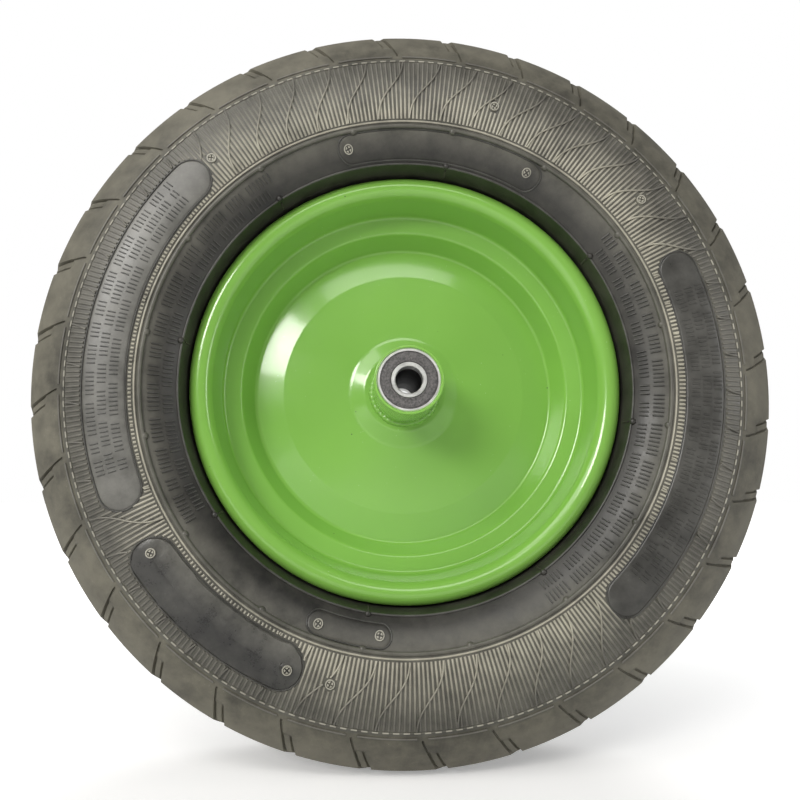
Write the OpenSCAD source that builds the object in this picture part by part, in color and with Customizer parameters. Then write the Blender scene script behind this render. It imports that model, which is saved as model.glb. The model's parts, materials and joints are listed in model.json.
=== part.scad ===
// Pneumatic wheelbarrow wheel: 16 inch tyre on a welded steel rim with a sealed-bearing hub.
// Frame: origin at the wheel's centre, axle along Y, the face with the full disc towards -Y, +Z up.

/* [Tyre] */
// Outside diameter of the tyre
tyre_od = 415; // [390:1:440]
// Widest width across both sidewalls, without the rings moulded on them
tyre_w = 109; // [104:1:122]
// Width of the tread from shoulder edge to shoulder edge
tread_w = 76; // [64:1:86]
// How far the tread's shoulder edge lies below its centre
crown_drop = 3.5; // [2:0.5:6]
// Thickness of the tread rubber at the centre
tread_t = 9; // [7:0.5:11]
// Thickness of the cord casing under the tread
crown_ply_t = 4; // [3:0.5:6]
// Thickness of the sidewall
sidewall_t = 5; // [4:0.5:6]
// Tread pitches round the tyre, each with one shoulder groove a side
tread_pitches = 32; // [24:1:40]
// Width of a shoulder groove
groove_w = 6.5; // [4:0.5:9]
// Depth of the tread grooves
groove_d = 6; // [3:0.5:7]
// How far the raised ring round the sidewall lies outside the bead line, on the radius
ridge_up = 18; // [14:0.5:24]
// Thickness of the moulded rings on the sidewall
ridge_t = 2.6; // [1.6:0.1:3.4]
// Width and height of a bead's bundle of steel wire
bead_wire_w = 5; // [3:0.5:5.5]
// Wall of the inner tube
tube_t = 2; // [1.4:0.1:3]

/* [Rim] */
// Outside diameter of the rolled rim edge
rim_od = 242; // [230:1:246]
// Distance across the crowns of the two rolled edges
rim_w = 67; // [62:1:70]
// Radius of the rolled edge, on its outside
roll_r = 6.5; // [5:0.25:7]
// Thickness of the rim's steel sheet
sheet_t = 2; // [1.5:0.1:2.4]
// How far the tyre seat narrows towards the middle, on the radius
seat_taper = 2.3; // [1:0.1:3]
// Distance between the two radial walls that close the middle channel, outside to outside
channel_w = 16; // [14:0.5:18]
// How far the front wall runs in from the seat before it turns back into the disc, on the radius
channel_drop = 10.4; // [9:0.1:12]
// How far the wall from there to the crease of the disc leans in, on the radius
crease_in = 5.8; // [4.5:0.1:8]
// Depth of that crease behind the wheel's middle plane
crease_depth = 9; // [7:0.5:11]
// Width of the disc's outer cone, from the crease in to the press line, on the radius
cone_w = 17.5; // [12:0.5:24]
// Size of the weld beads
weld_r = 2; // [1.5:0.1:3]

/* [Hub] */
// Length of the hub tube, the space it takes between two axle brackets
hub_l = 100; // [90:1:120]
// Wall of the hub tube round the bearings
hub_wall = 1.5; // [1.2:0.1:4]
// Height of the shoulder that stops each bearing
stop_h = 1.5; // [1:0.1:2.5]
// How far each bearing sits below the end of the hub tube
bearing_inset = 0.5; // [0.2:0.1:2]

/* [Bearing] */
// Outside diameter of the bearing
bearing_od = 35; // [34:0.5:37]
// Bore of the bearing, for the axle
bearing_bore = 15; // [14:0.5:16]
// Width of the bearing
bearing_w = 11; // [10.5:0.5:13]
// Diameter of a ball
ball_d = 5.953; // [5.5:0.01:6]
// Balls in one bearing
balls = 8; // [7:1:8]
// Thickness of a seal
seal_t = 1.5; // [1.2:0.1:1.6]

/* [Valve] */
// How far the valve's axis lies inside the inner end of the tyre seat, on the radius
valve_in = 5.5; // [4.7:0.1:5.7]
// Diameter of the metal valve stem
stem_d = 7.8; // [7:0.1:8]
// Reach of the stem behind the wheel's middle plane
stem_reach = 38; // [36:0.5:44]
// Length of the dust cap
cap_l = 11; // [9:0.5:13]
// Wall of the dust cap
cap_wall = 1.1; // [0.8:0.1:1.4]

/* [Fits] */
// Gap between an inner ring's land and a seal lip, and round the cage, on the radius
running_gap = 0.08; // [0.05:0.01:0.1]
// Gap of the axle in the tube between the bearings, on the radius
spacer_gap = 0.1; // [0.05:0.05:0.5]
// Gap between the stem and its hole in the rim, on the radius
hole_gap = 0.4; // [0.2:0.05:0.6]
// Gap between the cap and the stem's screw thread, on the radius
thread_gap = 0.08; // [0.05:0.01:0.15]
// Gap between the rolled rim edge and the tyre, on the radius
edge_gap = 0.6; // [0.3:0.1:1]

/* [Hidden] */
$fn = 96;
eps = 0.01;

// ---- colours ----
rubber_c = [0.13, 0.125, 0.12];
butyl_c = [0.08, 0.08, 0.085];
paint_c = [0.22, 0.72, 0.14];
steel_c = [0.72, 0.73, 0.74];
wire_c = [0.62, 0.5, 0.34];
brass_c = [0.75, 0.6, 0.3];
seal_c = [0.2, 0.2, 0.21];

// ---- curves, all in the half section: [radius, distance in front of the middle plane] ----
function bezier(a, b, c, d, n) = [for (i = [0:n]) let (t = i / n, s = 1 - t)
    s * s * s * a + 3 * s * s * t * b + 3 * s * t * t * c + t * t * t * d];
function arc(c, r, a0, a1, n) = [for (i = [0:n]) let (a = a0 + (a1 - a0) * i / n)
    c + r * [cos(a), sin(a)]];
function unit(v) = v / norm(v);
function reversed(p) = [for (i = [len(p) - 1:-1:0]) p[i]];
function mirrored(p) = [for (q = p) [q[0], -q[1]]];
function side_of(p, q) = let (v = unit(q - p)) [v[1], -v[0]];
// The path moved to its right by the distances in d
function beside(p, d) = let (m = len(p) - 1) [for (i = [0:m]) let (
    u = side_of(p[max(i - 1, 0)], p[max(i, 1)]),
    v = side_of(p[min(i, m - 1)], p[min(i + 1, m)]))
    p[i] + d[i] * (u + v) / (1 + u * v)];
// The path with an arc of radius r[i] in place of corner i
function rounded(p, r) = let (m = len(p) - 1) [for (i = [0:m]) each (i == 0 || i == m || r[i] == 0) ? [p[i]] :
    let (u = unit(p[i - 1] - p[i]), v = unit(p[i + 1] - p[i]), half = acos(u * v) / 2,
        reach = r[i] / tan(half), c = p[i] + unit(u + v) * r[i] / sin(half),
        from = p[i] + u * reach - c, to = p[i] + v * reach - c,
        a0 = atan2(from[1], from[0]), turn = atan2(to[1], to[0]) - a0,
        sweep = turn > 180 ? turn - 360 : (turn < -180 ? turn + 360 : turn))
    arc(c, r[i], a0, a0 + sweep, 5)];
function fill(n, v) = [for (i = [1:n]) v];
// The path drawn in towards the middle of the tyre's section by the distances in d
function inset(p, d) = [for (i = [0:len(p) - 1]) let (v = p[i] - section_c) section_c + v * (1 - d[i] / norm(v))];

// ---- solids of revolution: h is measured along the axle, + towards the front ----
module on_axle() { rotate([90, 0, 0]) children(); }
module turned(p) { rotate_extrude() polygon(p); }
module sheet(p) { turned(concat(p, reversed(beside(p, fill(len(p), sheet_t))))); }
module ring(r0, r1, h0, h1) { turned([[r0, h0], [r1, h0], [r1, h1], [r0, h1]]); }
module around(n) { for (i = [0:n - 1]) rotate([0, 0, i * 360 / n]) children(); }

// ---- tyre section ----
tyre_r = tyre_od / 2;
shoulder = [tyre_r - crown_drop, tread_w / 2];
bead_line = [rim_od / 2 + 3.5, tyre_w / 2 - 12.5];
side_steps = 18;
crown_steps = 6;
crown_path = bezier([tyre_r, 0], [tyre_r, tread_w / 6], [tyre_r - crown_drop / 3, tread_w / 3], shoulder,
    crown_steps);
side_path = bezier(shoulder, shoulder + [-20, tyre_w / 2 - tread_w / 2 + 3],
    [bead_line[0] + 18.5, tyre_w / 2 + 6.5], bead_line, side_steps);
outer_path = concat(crown_path, [for (i = [1:side_steps]) side_path[i]]);
// The tread rubber thins out to nothing between these two places on the outer path
thin_from = crown_steps;
thin_to = crown_steps + 5;
path_n = len(outer_path);
section_c = [(tyre_r + bead_line[0]) / 2 - 3, 0];
function blend(i, a, b) = i <= thin_from ? a : i >= thin_to ? b
    : a + (b - a) * (i - thin_from) / (thin_to - thin_from);
ply_path = inset(outer_path, [for (i = [0:path_n - 1]) blend(i, tread_t, 0)]);
cavity_path = inset(outer_path, [for (i = [0:path_n - 1]) blend(i, tread_t + crown_ply_t, sidewall_t)]);

// ---- rim section ----
roll_c = [rim_od / 2 - roll_r + 1, rim_w / 2 - roll_r];
seat_end = roll_c - [roll_r, 0];
channel_h = channel_w / 2;
seat_start = [seat_end[0] - seat_taper, channel_h];
roll_end_a = 20;
roll_path = arc(roll_c, roll_r, 180, roll_end_a, 9);
hub_r = bearing_od / 2 + hub_wall;
collar_r = hub_r + 5;
channel_corner = [seat_start[0] - channel_drop, channel_h - 2];
crease = [channel_corner[0] - crease_in, -crease_depth];
press_line = [crease[0] - cone_w, -crease_depth + 3.4];
dome_start = [collar_r + 9, -3];
dome_mid = [(dome_start[0] + press_line[0]) / 2 - 2, -4.2];
disc_path = rounded([[hub_r, 0.5], [collar_r, 0.5], dome_start, dome_mid, press_line, crease, channel_corner, seat_start, seat_end], [0, 6, 10, 30, 10, 2.2, 2.5, 2.5, 0]);
rim_path = concat(disc_path, [for (i = [1:len(roll_path) - 1]) roll_path[i]]);
// Radius of the outer skin of the wall between the crease and the channel, at distance h
wall_v = unit(channel_corner - crease);
function wall_skin_r(h) = crease[0] + sheet_t / wall_v[1] + (h - crease[1]) * wall_v[0] / wall_v[1];
ring_in_r = wall_skin_r(-(channel_h - sheet_t)) + 0.15;
ring_path = concat(rounded([[ring_in_r, channel_h], seat_start, seat_end], [0, 2.5, 0]),
    [for (i = [1:len(roll_path) - 1]) roll_path[i]]);

// ---- tyre bead, seated on the rim's outer skin ----
function seat_r(h) = seat_start[0] + sheet_t + 0.1 + (h - channel_h) * seat_taper / (seat_end[1] - channel_h);
toe_h = channel_h + 3;
heel_h = roll_c[1] - 2.5;
heel_r = rim_od / 2 + 1 + edge_gap;
bead_back = [heel_r - 4.5, toe_h + 1];
bead_path = [[heel_r, rim_w / 2 - 2], [heel_r, heel_h], [seat_r(heel_h), heel_h], [seat_r(toe_h), toe_h],
    bead_back];
wire_c0 = [seat_r(heel_h) + bead_wire_w / 2 + 1, (toe_h + heel_h) / 2 + 2];

// ---- inner tube, blown out against the casing and the beads ----
tube_floor_r = rim_od / 2 - 8;
tube_half = concat(cavity_path, [bead_back, [tube_floor_r, toe_h - 2.5], [tube_floor_r, 0]]);
tube_half_in = inset(tube_half, fill(len(tube_half), tube_t));
function closed(p) = concat(p, reversed([for (i = [1:len(p) - 2]) [p[i][0], -p[i][1]]]));

// ---- hub and bearings ----
bearing_out_h = hub_l / 2 - bearing_inset;
bearing_in_h = bearing_out_h - bearing_w;
bearing_h = (bearing_out_h + bearing_in_h) / 2;
pitch_r = (bearing_od + bearing_bore) / 4;
ball_r = ball_d / 2;
groove_r = ball_r + running_gap;
inner_land_r = pitch_r - ball_r * 0.74;
outer_land_r = pitch_r + ball_r * 0.74;
seal_in_r = inner_land_r - 0.6;
seal_out_r = outer_land_r + 1.1;
race_step = 0.1;
cage_w = 2.4;
cage_t = 0.5;
plate_h = 0.1;
rivet_r = 0.5;
rivet_head_r = 0.85;

// ---- valve: z is measured from the middle plane towards the rear ----
valve_r = seat_start[0] - valve_in;
stem_r = stem_d / 2;
air_r = 1.3;
foot_r = 6;
foot_t = 1;
patch_r = 9.5;
patch_t = 2.2;
core_bore_r = stem_r - 1.15;
core_bore_l = 21;
core_top = stem_reach - 1.5;
plug_l = 6.5;
barrel_r = core_bore_r - 0.55;
barrel_l = 8;
plug_end = core_top - plug_l;
barrel_end = plug_end - barrel_l;
pin_r = 0.6;
pin_gap = 0.15;
spring_wire_r = 0.16;
spring_mean_r = 0.92;
spring_chamber_r = 1.3;
collar_t = 0.5;
spring_base = barrel_end + 1.2;
spring_top = plug_end - 1.4;
spring_turns = 6;
washer_t = 0.6;
washer_r = barrel_r - 0.1;
cap_in_r = stem_r + thread_gap;
cap_end = stem_reach + 3.2;
cap_seal_t = 1;
knurls = 24;
knurl_r = 0.45;

module at_valve() { translate([0, -valve_r, 0]) mirror([0, 0, 1]) children(); }
module disc(r, z0, z1) { translate([0, 0, z0]) cylinder(r = r, h = z1 - z0, $fn = 48); }
// A cylinder that points from the valve's bend out to the tyre
module spoke(r, d0, d1) { translate([0, -d0, 0]) rotate([90, 0, 0]) cylinder(r = r, h = d1 - d0, $fn = 48); }
foot_d = tube_floor_r - valve_r - 1.2;

// ---- tyre ----
module groove_cutters(side) {
    // One slanted groove a pitch, open at the shoulder
    around(tread_pitches) mirror([0, 0, side]) rotate([0, 0, side * 180 / tread_pitches])
        translate([tyre_r - groove_d, 0, tread_w * 0.28]) rotate([18, 0, 0])
        translate([0, -groove_w / 2, 0]) cube([groove_d + 5, groove_w, tread_w / 2]);
}
module tyre_tread() {
    last = thin_to;
    color(rubber_c) on_axle() difference() {
        turned(concat([for (i = [0:last]) outer_path[i]],
            [for (i = [last - 1:-1:0]) ply_path[i]],
            [for (i = [1:last]) [ply_path[i][0], -ply_path[i][1]]],
            [for (i = [last - 1:-1:1]) [outer_path[i][0], -outer_path[i][1]]]));
        for (side = [0, 1]) groove_cutters(side);
        for (h = [-1, 1] * tread_w * 0.16) ring(tyre_r - groove_d, tyre_r + 5, h - 2, h + 2);
    }
}
module tyre_casing() {
    half = concat([for (i = [0:path_n - 1]) i < thin_to ? ply_path[i] : outer_path[i]], bead_path,
        [for (i = [path_n - 1:-1:0]) cavity_path[i]]);
    color(rubber_c) on_axle() difference() {
        union() {
            for (side = [0, 1]) mirror([0, 0, side]) turned(half);
            for (side = [0, 1]) mirror([0, 0, side]) sidewall_rings();
        }
        for (side = [0, 1]) mirror([0, 0, side]) bead_hoop();
    }
}
function near(p, r) = [for (i = [1:len(p) - 1]) if (p[i - 1][0] >= r && p[i][0] < r)
    p[i] + (p[i - 1] - p[i]) * (r - p[i][0]) / (p[i - 1][0] - p[i][0])][0];
module sidewall_rings() {
    for (at = [near(side_path, bead_line[0] + ridge_up), bead_line - [-0.9, -0.6]])
        rotate_extrude() translate(at) circle(d = ridge_t, $fn = 24);
}
module bead_hoop() {
    ring(wire_c0[0] - bead_wire_w / 2, wire_c0[0] + bead_wire_w / 2, wire_c0[1] - bead_wire_w / 2,
        wire_c0[1] + bead_wire_w / 2);
}
module front_bead_wire() { color(wire_c) on_axle() bead_hoop(); }
module rear_bead_wire() { color(wire_c) on_axle() mirror([0, 0, 1]) bead_hoop(); }
module inner_tube() {
    color(butyl_c) on_axle() difference() {
        turned(closed(tube_half));
        turned(closed(tube_half_in));
        at_valve() spoke(air_r, foot_d, foot_d + 10);
    }
}

// ---- rim ----
module rim_disc() { color(paint_c) on_axle() sheet(rim_path); }
module rim_ring() {
    color(paint_c) on_axle() difference() {
        mirror([0, 0, 1]) sheet(ring_path);
        at_valve() disc(stem_r + hole_gap, 0, channel_w);
    }
}
module bead_of_weld(r, h) { rotate_extrude() translate([r, h]) circle(r = weld_r, $fn = 32); }
module rim_weld() {
    color(paint_c) on_axle() difference() {
        bead_of_weld(wall_skin_r(-channel_h) + 0.9, -channel_h - 0.5);
        sheet(rim_path);
        ring(0, wall_skin_r(-channel_h) - 0.2, -60, 0);
        ring(0, rim_od / 2, -channel_h, 0);
    }
}
module hub_weld(h, above) {
    color(paint_c) on_axle() difference() {
        bead_of_weld(hub_r + 0.4, h + above * 0.3);
        cylinder(r = hub_r, h = hub_l, center = true);
        mirror([0, 0, above > 0 ? 1 : 0]) translate([0, 0, -above * h]) cylinder(r = rim_od, h = rim_w);
    }
}
module front_hub_weld() { hub_weld(0.5, 1); }
module rear_hub_weld() { hub_weld(0.5 - sheet_t, -1); }

// ---- hub ----
module hub_tube() {
    seat = bearing_od / 2;
    color(paint_c) on_axle() difference() {
        cylinder(r = hub_r, h = hub_l, center = true);
        cylinder(r = seat - stop_h, h = hub_l + 1, center = true);
        for (side = [0, 1]) mirror([0, 0, side]) translate([0, 0, bearing_in_h])
            cylinder(r = seat, h = hub_l);
    }
}
module spacer_tube() {
    color(steel_c) on_axle() ring(bearing_bore / 2 + spacer_gap, seal_in_r - 0.2, -bearing_in_h, bearing_in_h);
}

// ---- bearing, drawn about its own middle and then set at each end of the hub ----
module set_bearing(side) {
    on_axle() mirror([0, 0, side == "rear" ? 1 : 0]) translate([0, 0, bearing_h]) children();
}
half_w = bearing_w / 2;
module raceway() { rotate_extrude() translate([pitch_r, 0]) circle(r = groove_r, $fn = 48); }
module outer_ring() {
    color(steel_c) difference() {
        ring(outer_land_r, bearing_od / 2, -half_w, half_w);
        raceway();
        for (side = [0, 1]) mirror([0, 0, side]) ring(0, seal_out_r, half_w - seal_t - race_step, half_w + 1);
    }
}
module inner_ring() {
    color(steel_c) difference() {
        ring(bearing_bore / 2, inner_land_r, -half_w, half_w);
        raceway();
        for (side = [0, 1]) mirror([0, 0, side])
            ring(seal_in_r, pitch_r, half_w - seal_t - 2 * race_step, half_w + 1);
    }
}
module ball_set() { color(steel_c) around(balls) translate([pitch_r, 0, 0]) sphere(r = ball_r); }
module cage_half(side) {
    shell_r = ball_r + running_gap + cage_t;
    color(wire_c) mirror([0, 0, side]) difference() {
        intersection() {
            union() {
                around(balls) translate([pitch_r, 0, 0]) sphere(r = shell_r);
                ring(pitch_r - cage_w / 2, pitch_r + cage_w / 2, plate_h, plate_h + cage_t);
            }
            ring(pitch_r - cage_w / 2, pitch_r + cage_w / 2, plate_h, shell_r + 1);
        }
        around(balls) translate([pitch_r, 0, 0]) sphere(r = ball_r + running_gap);
        around(balls) rotate([0, 0, 180 / balls]) translate([pitch_r, 0, 0]) cylinder(r = rivet_r, h = 4);
    }
}
module rivet_set() {
    head_h = plate_h + cage_t;
    color(steel_c) around(balls) rotate([0, 0, 180 / balls]) translate([pitch_r, 0, 0]) union() {
        cylinder(r = rivet_r, h = 2 * head_h + 0.6, center = true, $fn = 24);
        for (side = [0, 1]) mirror([0, 0, side]) translate([0, 0, head_h])
            cylinder(r1 = rivet_head_r, r2 = rivet_r, h = 0.35, $fn = 24);
    }
}
module seal(side) {
    color(seal_c) mirror([0, 0, side]) turned([
        [seal_in_r + running_gap, half_w - seal_t - race_step], [seal_out_r, half_w - seal_t - race_step],
        [seal_out_r, half_w - 0.35], [seal_out_r - 0.9, half_w - race_step],
        [seal_in_r + 1.1, half_w - race_step], [seal_in_r + running_gap, half_w - 0.4]]);
}

// ---- valve ----
module valve_patch() {
    color(butyl_c) on_axle() difference() {
        intersection() {
            at_valve() spoke(patch_r, tube_floor_r - valve_r - patch_t, tube_floor_r - valve_r + 1);
            cylinder(r = tube_floor_r, h = rim_w, center = true, $fn = 192);
        }
        at_valve() spoke(stem_r, 0, foot_d);
        at_valve() spoke(foot_r, foot_d - foot_t, foot_d);
        at_valve() spoke(air_r, 0, foot_d + 10);
    }
}
module valve_stem() {
    color(brass_c) on_axle() at_valve() difference() {
        union() {
            disc(stem_r, 0, stem_reach);
            sphere(r = stem_r, $fn = 48);
            spoke(stem_r, 0, foot_d);
            spoke(foot_r, foot_d - foot_t, foot_d);
        }
        disc(core_bore_r, stem_reach - core_bore_l, stem_reach + 1);
        disc(air_r, 0, stem_reach);
        sphere(r = air_r, $fn = 48);
        spoke(air_r, 0, foot_d + 1);
    }
}
module valve_core() {
    color(brass_c) on_axle() at_valve() difference() {
        union() {
            disc(core_bore_r - 0.02, plug_end, core_top);
            disc(barrel_r, barrel_end, plug_end);
        }
        disc(pin_r + pin_gap, barrel_end - 1, core_top + 1);
        disc(spring_chamber_r, spring_base, core_top + 1);
    }
}
module valve_core_seal() {
    color(seal_c) on_axle() at_valve() difference() {
        disc(core_bore_r - 0.02, plug_end - 2.6, plug_end);
        disc(barrel_r, plug_end - 4, plug_end + 1);
    }
}
module valve_pin() {
    color(brass_c) on_axle() at_valve() union() {
        disc(pin_r, barrel_end - washer_t - 1.4, core_top + 0.9);
        disc(spring_mean_r + spring_wire_r, spring_top, spring_top + collar_t);
        disc(washer_r, barrel_end - washer_t - 0.9, barrel_end - washer_t);
    }
}
module valve_pin_washer() {
    color(seal_c) on_axle() at_valve() difference() {
        disc(washer_r, barrel_end - washer_t, barrel_end);
        disc(pin_r, barrel_end - 2, barrel_end + 1);
    }
}
module valve_spring() {
    sides = 6;
    per_turn = 12;
    rings = spring_turns * per_turn;
    rise = spring_top - spring_base - 2 * spring_wire_r - 0.04;
    points = [for (i = [0:rings], k = [0:sides - 1]) let (a = i * 360 / per_turn, b = k * 360 / sides,
        r = spring_mean_r + spring_wire_r * cos(b))
        [r * cos(a), r * sin(a), spring_base + spring_wire_r + 0.02 + rise * i / rings + spring_wire_r * sin(b)]];
    quads = [for (i = [0:rings - 1], k = [0:sides - 1]) let (a = i * sides, b = (i + 1) * sides,
        m = (k + 1) % sides) [a + k, a + m, b + m, b + k]];
    ends = [[for (k = [sides - 1:-1:0]) k], [for (k = [0:sides - 1]) rings * sides + k]];
    color(steel_c) on_axle() at_valve() polyhedron(points, concat(quads, ends));
}
module valve_cap() {
    out_r = cap_in_r + cap_wall;
    color(rubber_c) on_axle() at_valve() difference() {
        union() {
            disc(out_r, cap_end - cap_l, cap_end);
            around(knurls) translate([out_r, 0, cap_end - cap_l])
                cylinder(r = knurl_r, h = cap_l - 1.5, $fn = 16);
        }
        disc(cap_in_r, cap_end - cap_l - 1, cap_end - 1.4);
    }
}
module valve_cap_seal() {
    color(seal_c) on_axle() at_valve() disc(cap_in_r - 0.1, stem_reach + 0.3, stem_reach + 0.3 + cap_seal_t);
}

tyre_tread();
tyre_casing();
front_bead_wire();
rear_bead_wire();
inner_tube();
rim_disc();
rim_ring();
rim_weld();
hub_tube();
front_hub_weld();
rear_hub_weld();
spacer_tube();
valve_patch();
valve_stem();
valve_core();
valve_core_seal();
valve_pin();
valve_pin_washer();
valve_spring();
valve_cap();
valve_cap_seal();
for (side = ["front", "rear"]) {
    set_bearing(side) outer_ring();
    set_bearing(side) inner_ring();
    set_bearing(side) ball_set();
    set_bearing(side) cage_half(0);
    set_bearing(side) cage_half(1);
    set_bearing(side) rivet_set();
    set_bearing(side) seal(0);
    set_bearing(side) seal(1);
}
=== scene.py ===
"""Visual model of an air-filled wheelbarrow wheel on a welded steel rim.

Sizes in this script are millimetres unless a name says otherwise, and points on the wheel are given as a
radius from the axle, a distance in front of the wheel's middle plane, and a turn in degrees clockwise from
the top as seen from the front. `spot` turns them into metres in the shared frame.
"""
import json
import logging
import math
import random
from dataclasses import dataclass, field
from enum import Enum
from typing import Callable, Iterable, Optional, Sequence

import bpy
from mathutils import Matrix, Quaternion, Vector


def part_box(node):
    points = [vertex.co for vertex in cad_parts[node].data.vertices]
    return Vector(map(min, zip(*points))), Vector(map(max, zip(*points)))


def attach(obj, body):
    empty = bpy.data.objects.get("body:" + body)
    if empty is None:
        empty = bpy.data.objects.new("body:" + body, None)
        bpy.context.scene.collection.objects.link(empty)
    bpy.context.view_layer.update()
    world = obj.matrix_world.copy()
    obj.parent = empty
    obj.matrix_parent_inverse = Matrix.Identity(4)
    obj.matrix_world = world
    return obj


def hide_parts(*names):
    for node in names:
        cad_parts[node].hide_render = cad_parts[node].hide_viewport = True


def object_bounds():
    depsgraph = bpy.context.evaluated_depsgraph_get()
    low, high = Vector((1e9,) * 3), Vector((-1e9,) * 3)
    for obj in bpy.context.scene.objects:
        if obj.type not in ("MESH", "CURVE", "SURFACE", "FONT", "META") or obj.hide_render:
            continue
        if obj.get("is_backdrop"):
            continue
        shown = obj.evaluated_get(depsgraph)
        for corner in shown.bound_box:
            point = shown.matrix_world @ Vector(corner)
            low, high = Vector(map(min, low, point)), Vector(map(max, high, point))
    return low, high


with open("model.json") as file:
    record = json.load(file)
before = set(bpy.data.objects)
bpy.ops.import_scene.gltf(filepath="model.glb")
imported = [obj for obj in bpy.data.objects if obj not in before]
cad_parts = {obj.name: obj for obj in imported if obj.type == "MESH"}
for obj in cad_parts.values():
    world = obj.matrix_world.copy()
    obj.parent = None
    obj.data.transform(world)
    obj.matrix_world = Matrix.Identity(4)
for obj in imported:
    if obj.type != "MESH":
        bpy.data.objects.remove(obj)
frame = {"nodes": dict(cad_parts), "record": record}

LOG = logging.getLogger("wheel")
MM = 0.001
Pair = tuple[float, float]
Colour = tuple[float, float, float]


class Side(Enum):
    """The two faces of the wheel."""

    FRONT = 1
    REAR = -1

    @property
    def word(self) -> str:
        """The side's name in piece names."""
        return self.name.lower()


# ---------------------------------------------------------------- curves and meshes

def spot(radius: float, ahead: float, turn: float) -> Vector:
    """Place a point given in wheel terms.

    Args:
        radius: distance from the axle's centre line.
        ahead: distance in front of the middle plane.
        turn: degrees clockwise from the top, seen from the front.

    Returns:
        The point in metres.
    """
    a = math.radians(turn)
    return Vector((radius * math.sin(a), -ahead, radius * math.cos(a))) * MM


def bezier(a: Pair, b: Pair, c: Pair, d: Pair, steps: int) -> list[Pair]:
    """Sample a cubic curve.

    Args:
        a, b, c, d: its control points.
        steps: spans between samples.

    Returns:
        steps + 1 points from a to d.
    """
    out = []
    for i in range(steps + 1):
        t = i / steps
        w = ((1 - t) ** 3, 3 * (1 - t) ** 2 * t, 3 * (1 - t) * t * t, t ** 3)
        out.append(tuple(sum(k * p[j] for k, p in zip(w, (a, b, c, d))) for j in (0, 1)))
    return out


def arc(centre: Pair, radius: float, start: float, stop: float, steps: int) -> list[Pair]:
    """Sample an arc from start to stop degrees.

    Args:
        centre: its centre.
        radius: its radius.
        start: first angle.
        stop: last angle.
        steps: spans between samples.

    Returns:
        steps + 1 points.
    """
    angles = [math.radians(start + (stop - start) * i / steps) for i in range(steps + 1)]
    return [(centre[0] + radius * math.cos(a), centre[1] + radius * math.sin(a)) for a in angles]


def rounded(points: Sequence[Pair], radii: Sequence[float], steps: int = 8) -> list[Pair]:
    """Put an arc in place of each corner of an open outline.

    Args:
        points: the corners.
        radii: one radius a corner; 0 keeps it sharp.
        steps: spans in each arc.

    Returns:
        The rounded outline.
    """
    out: list[Pair] = []
    for i, (p, r) in enumerate(zip(points, radii)):
        if r == 0 or i in (0, len(points) - 1):
            out.append(p)
            continue
        here = Vector(p)
        u = (Vector(points[i - 1]) - here).normalized()
        v = (Vector(points[i + 1]) - here).normalized()
        half = u.angle(v) / 2
        centre = here + (u + v).normalized() * r / math.sin(half)
        first = here + u * r / math.tan(half) - centre
        last = here + v * r / math.tan(half) - centre
        start = math.degrees(math.atan2(first.y, first.x))
        sweep = (math.degrees(math.atan2(last.y, last.x)) - start + 180) % 360 - 180
        out += arc((centre.x, centre.y), r, start, start + sweep, steps)
    return out


def beside(path: Sequence[Pair], gap: float) -> list[Pair]:
    """Move an open path to its right.

    Args:
        path: the points.
        gap: how far.

    Returns:
        The moved path.
    """
    sides = []
    for p, q in zip(path, path[1:]):
        d = (Vector(q) - Vector(p)).normalized()
        sides.append(Vector((d.y, -d.x)))
    out = []
    for i, p in enumerate(path):
        u, v = sides[max(i - 1, 0)], sides[min(i, len(sides) - 1)]
        moved = Vector(p) + gap * (u + v) / (1 + u.dot(v))
        out.append((moved.x, moved.y))
    return out


def mirrored(path: Iterable[Pair]) -> list[Pair]:
    """The path on the other side of the middle plane."""
    return [(r, -h) for r, h in path]


def make_mesh(name: str, points: Sequence[Vector], faces: Sequence[Sequence[int]],
              finish: bpy.types.Material, crease: float = 35.0) -> bpy.types.Object:
    """Build a mesh object at the origin.

    Args:
        name: the piece's name.
        points: corners in metres.
        faces: corner numbers of each face.
        finish: its material.
        crease: angle in degrees past which an edge shades sharp.

    Returns:
        The new object.
    """
    mesh = bpy.data.meshes.new(name)
    mesh.from_pydata([tuple(p) for p in points], [], faces)
    mesh.validate()
    mesh.shade_smooth()
    mesh.set_sharp_from_angle(angle=math.radians(crease))
    mesh.materials.append(finish)
    piece = bpy.data.objects.new(name, mesh)
    bpy.context.scene.collection.objects.link(piece)
    return piece


def revolve(name: str, loop: Sequence[Pair], finish: bpy.types.Material, steps: int = 240,
            wobble: Optional[Callable[[int, float], Pair]] = None, crease: float = 35.0) -> bpy.types.Object:
    """Turn a closed outline about the axle.

    Args:
        name: the piece's name.
        loop: outline as radius and distance ahead.
        finish: its material.
        steps: flats round the circle.
        wobble: shift of outline point i at a turn, for hand-laid pieces.
        crease: angle past which an edge shades sharp.

    Returns:
        The ring, with its faces outward.
    """
    area = sum(p[0] * q[1] - q[0] * p[1] for p, q in zip(loop, [*loop[1:], loop[0]]))
    path = list(loop) if area > 0 else list(reversed(loop))
    n = len(path)
    points = []
    for k in range(steps):
        turn = 360 * k / steps
        for i, (r, h) in enumerate(path):
            dr, dh = wobble(i, turn) if wobble else (0.0, 0.0)
            points.append(spot(r + dr, h + dh, turn))
    faces = [(k * n + i, k * n + (i + 1) % n, (k + 1) % steps * n + (i + 1) % n, (k + 1) % steps * n + i)
             for k in range(steps) for i in range(n)]
    return make_mesh(name, points, faces, finish, crease)


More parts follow.
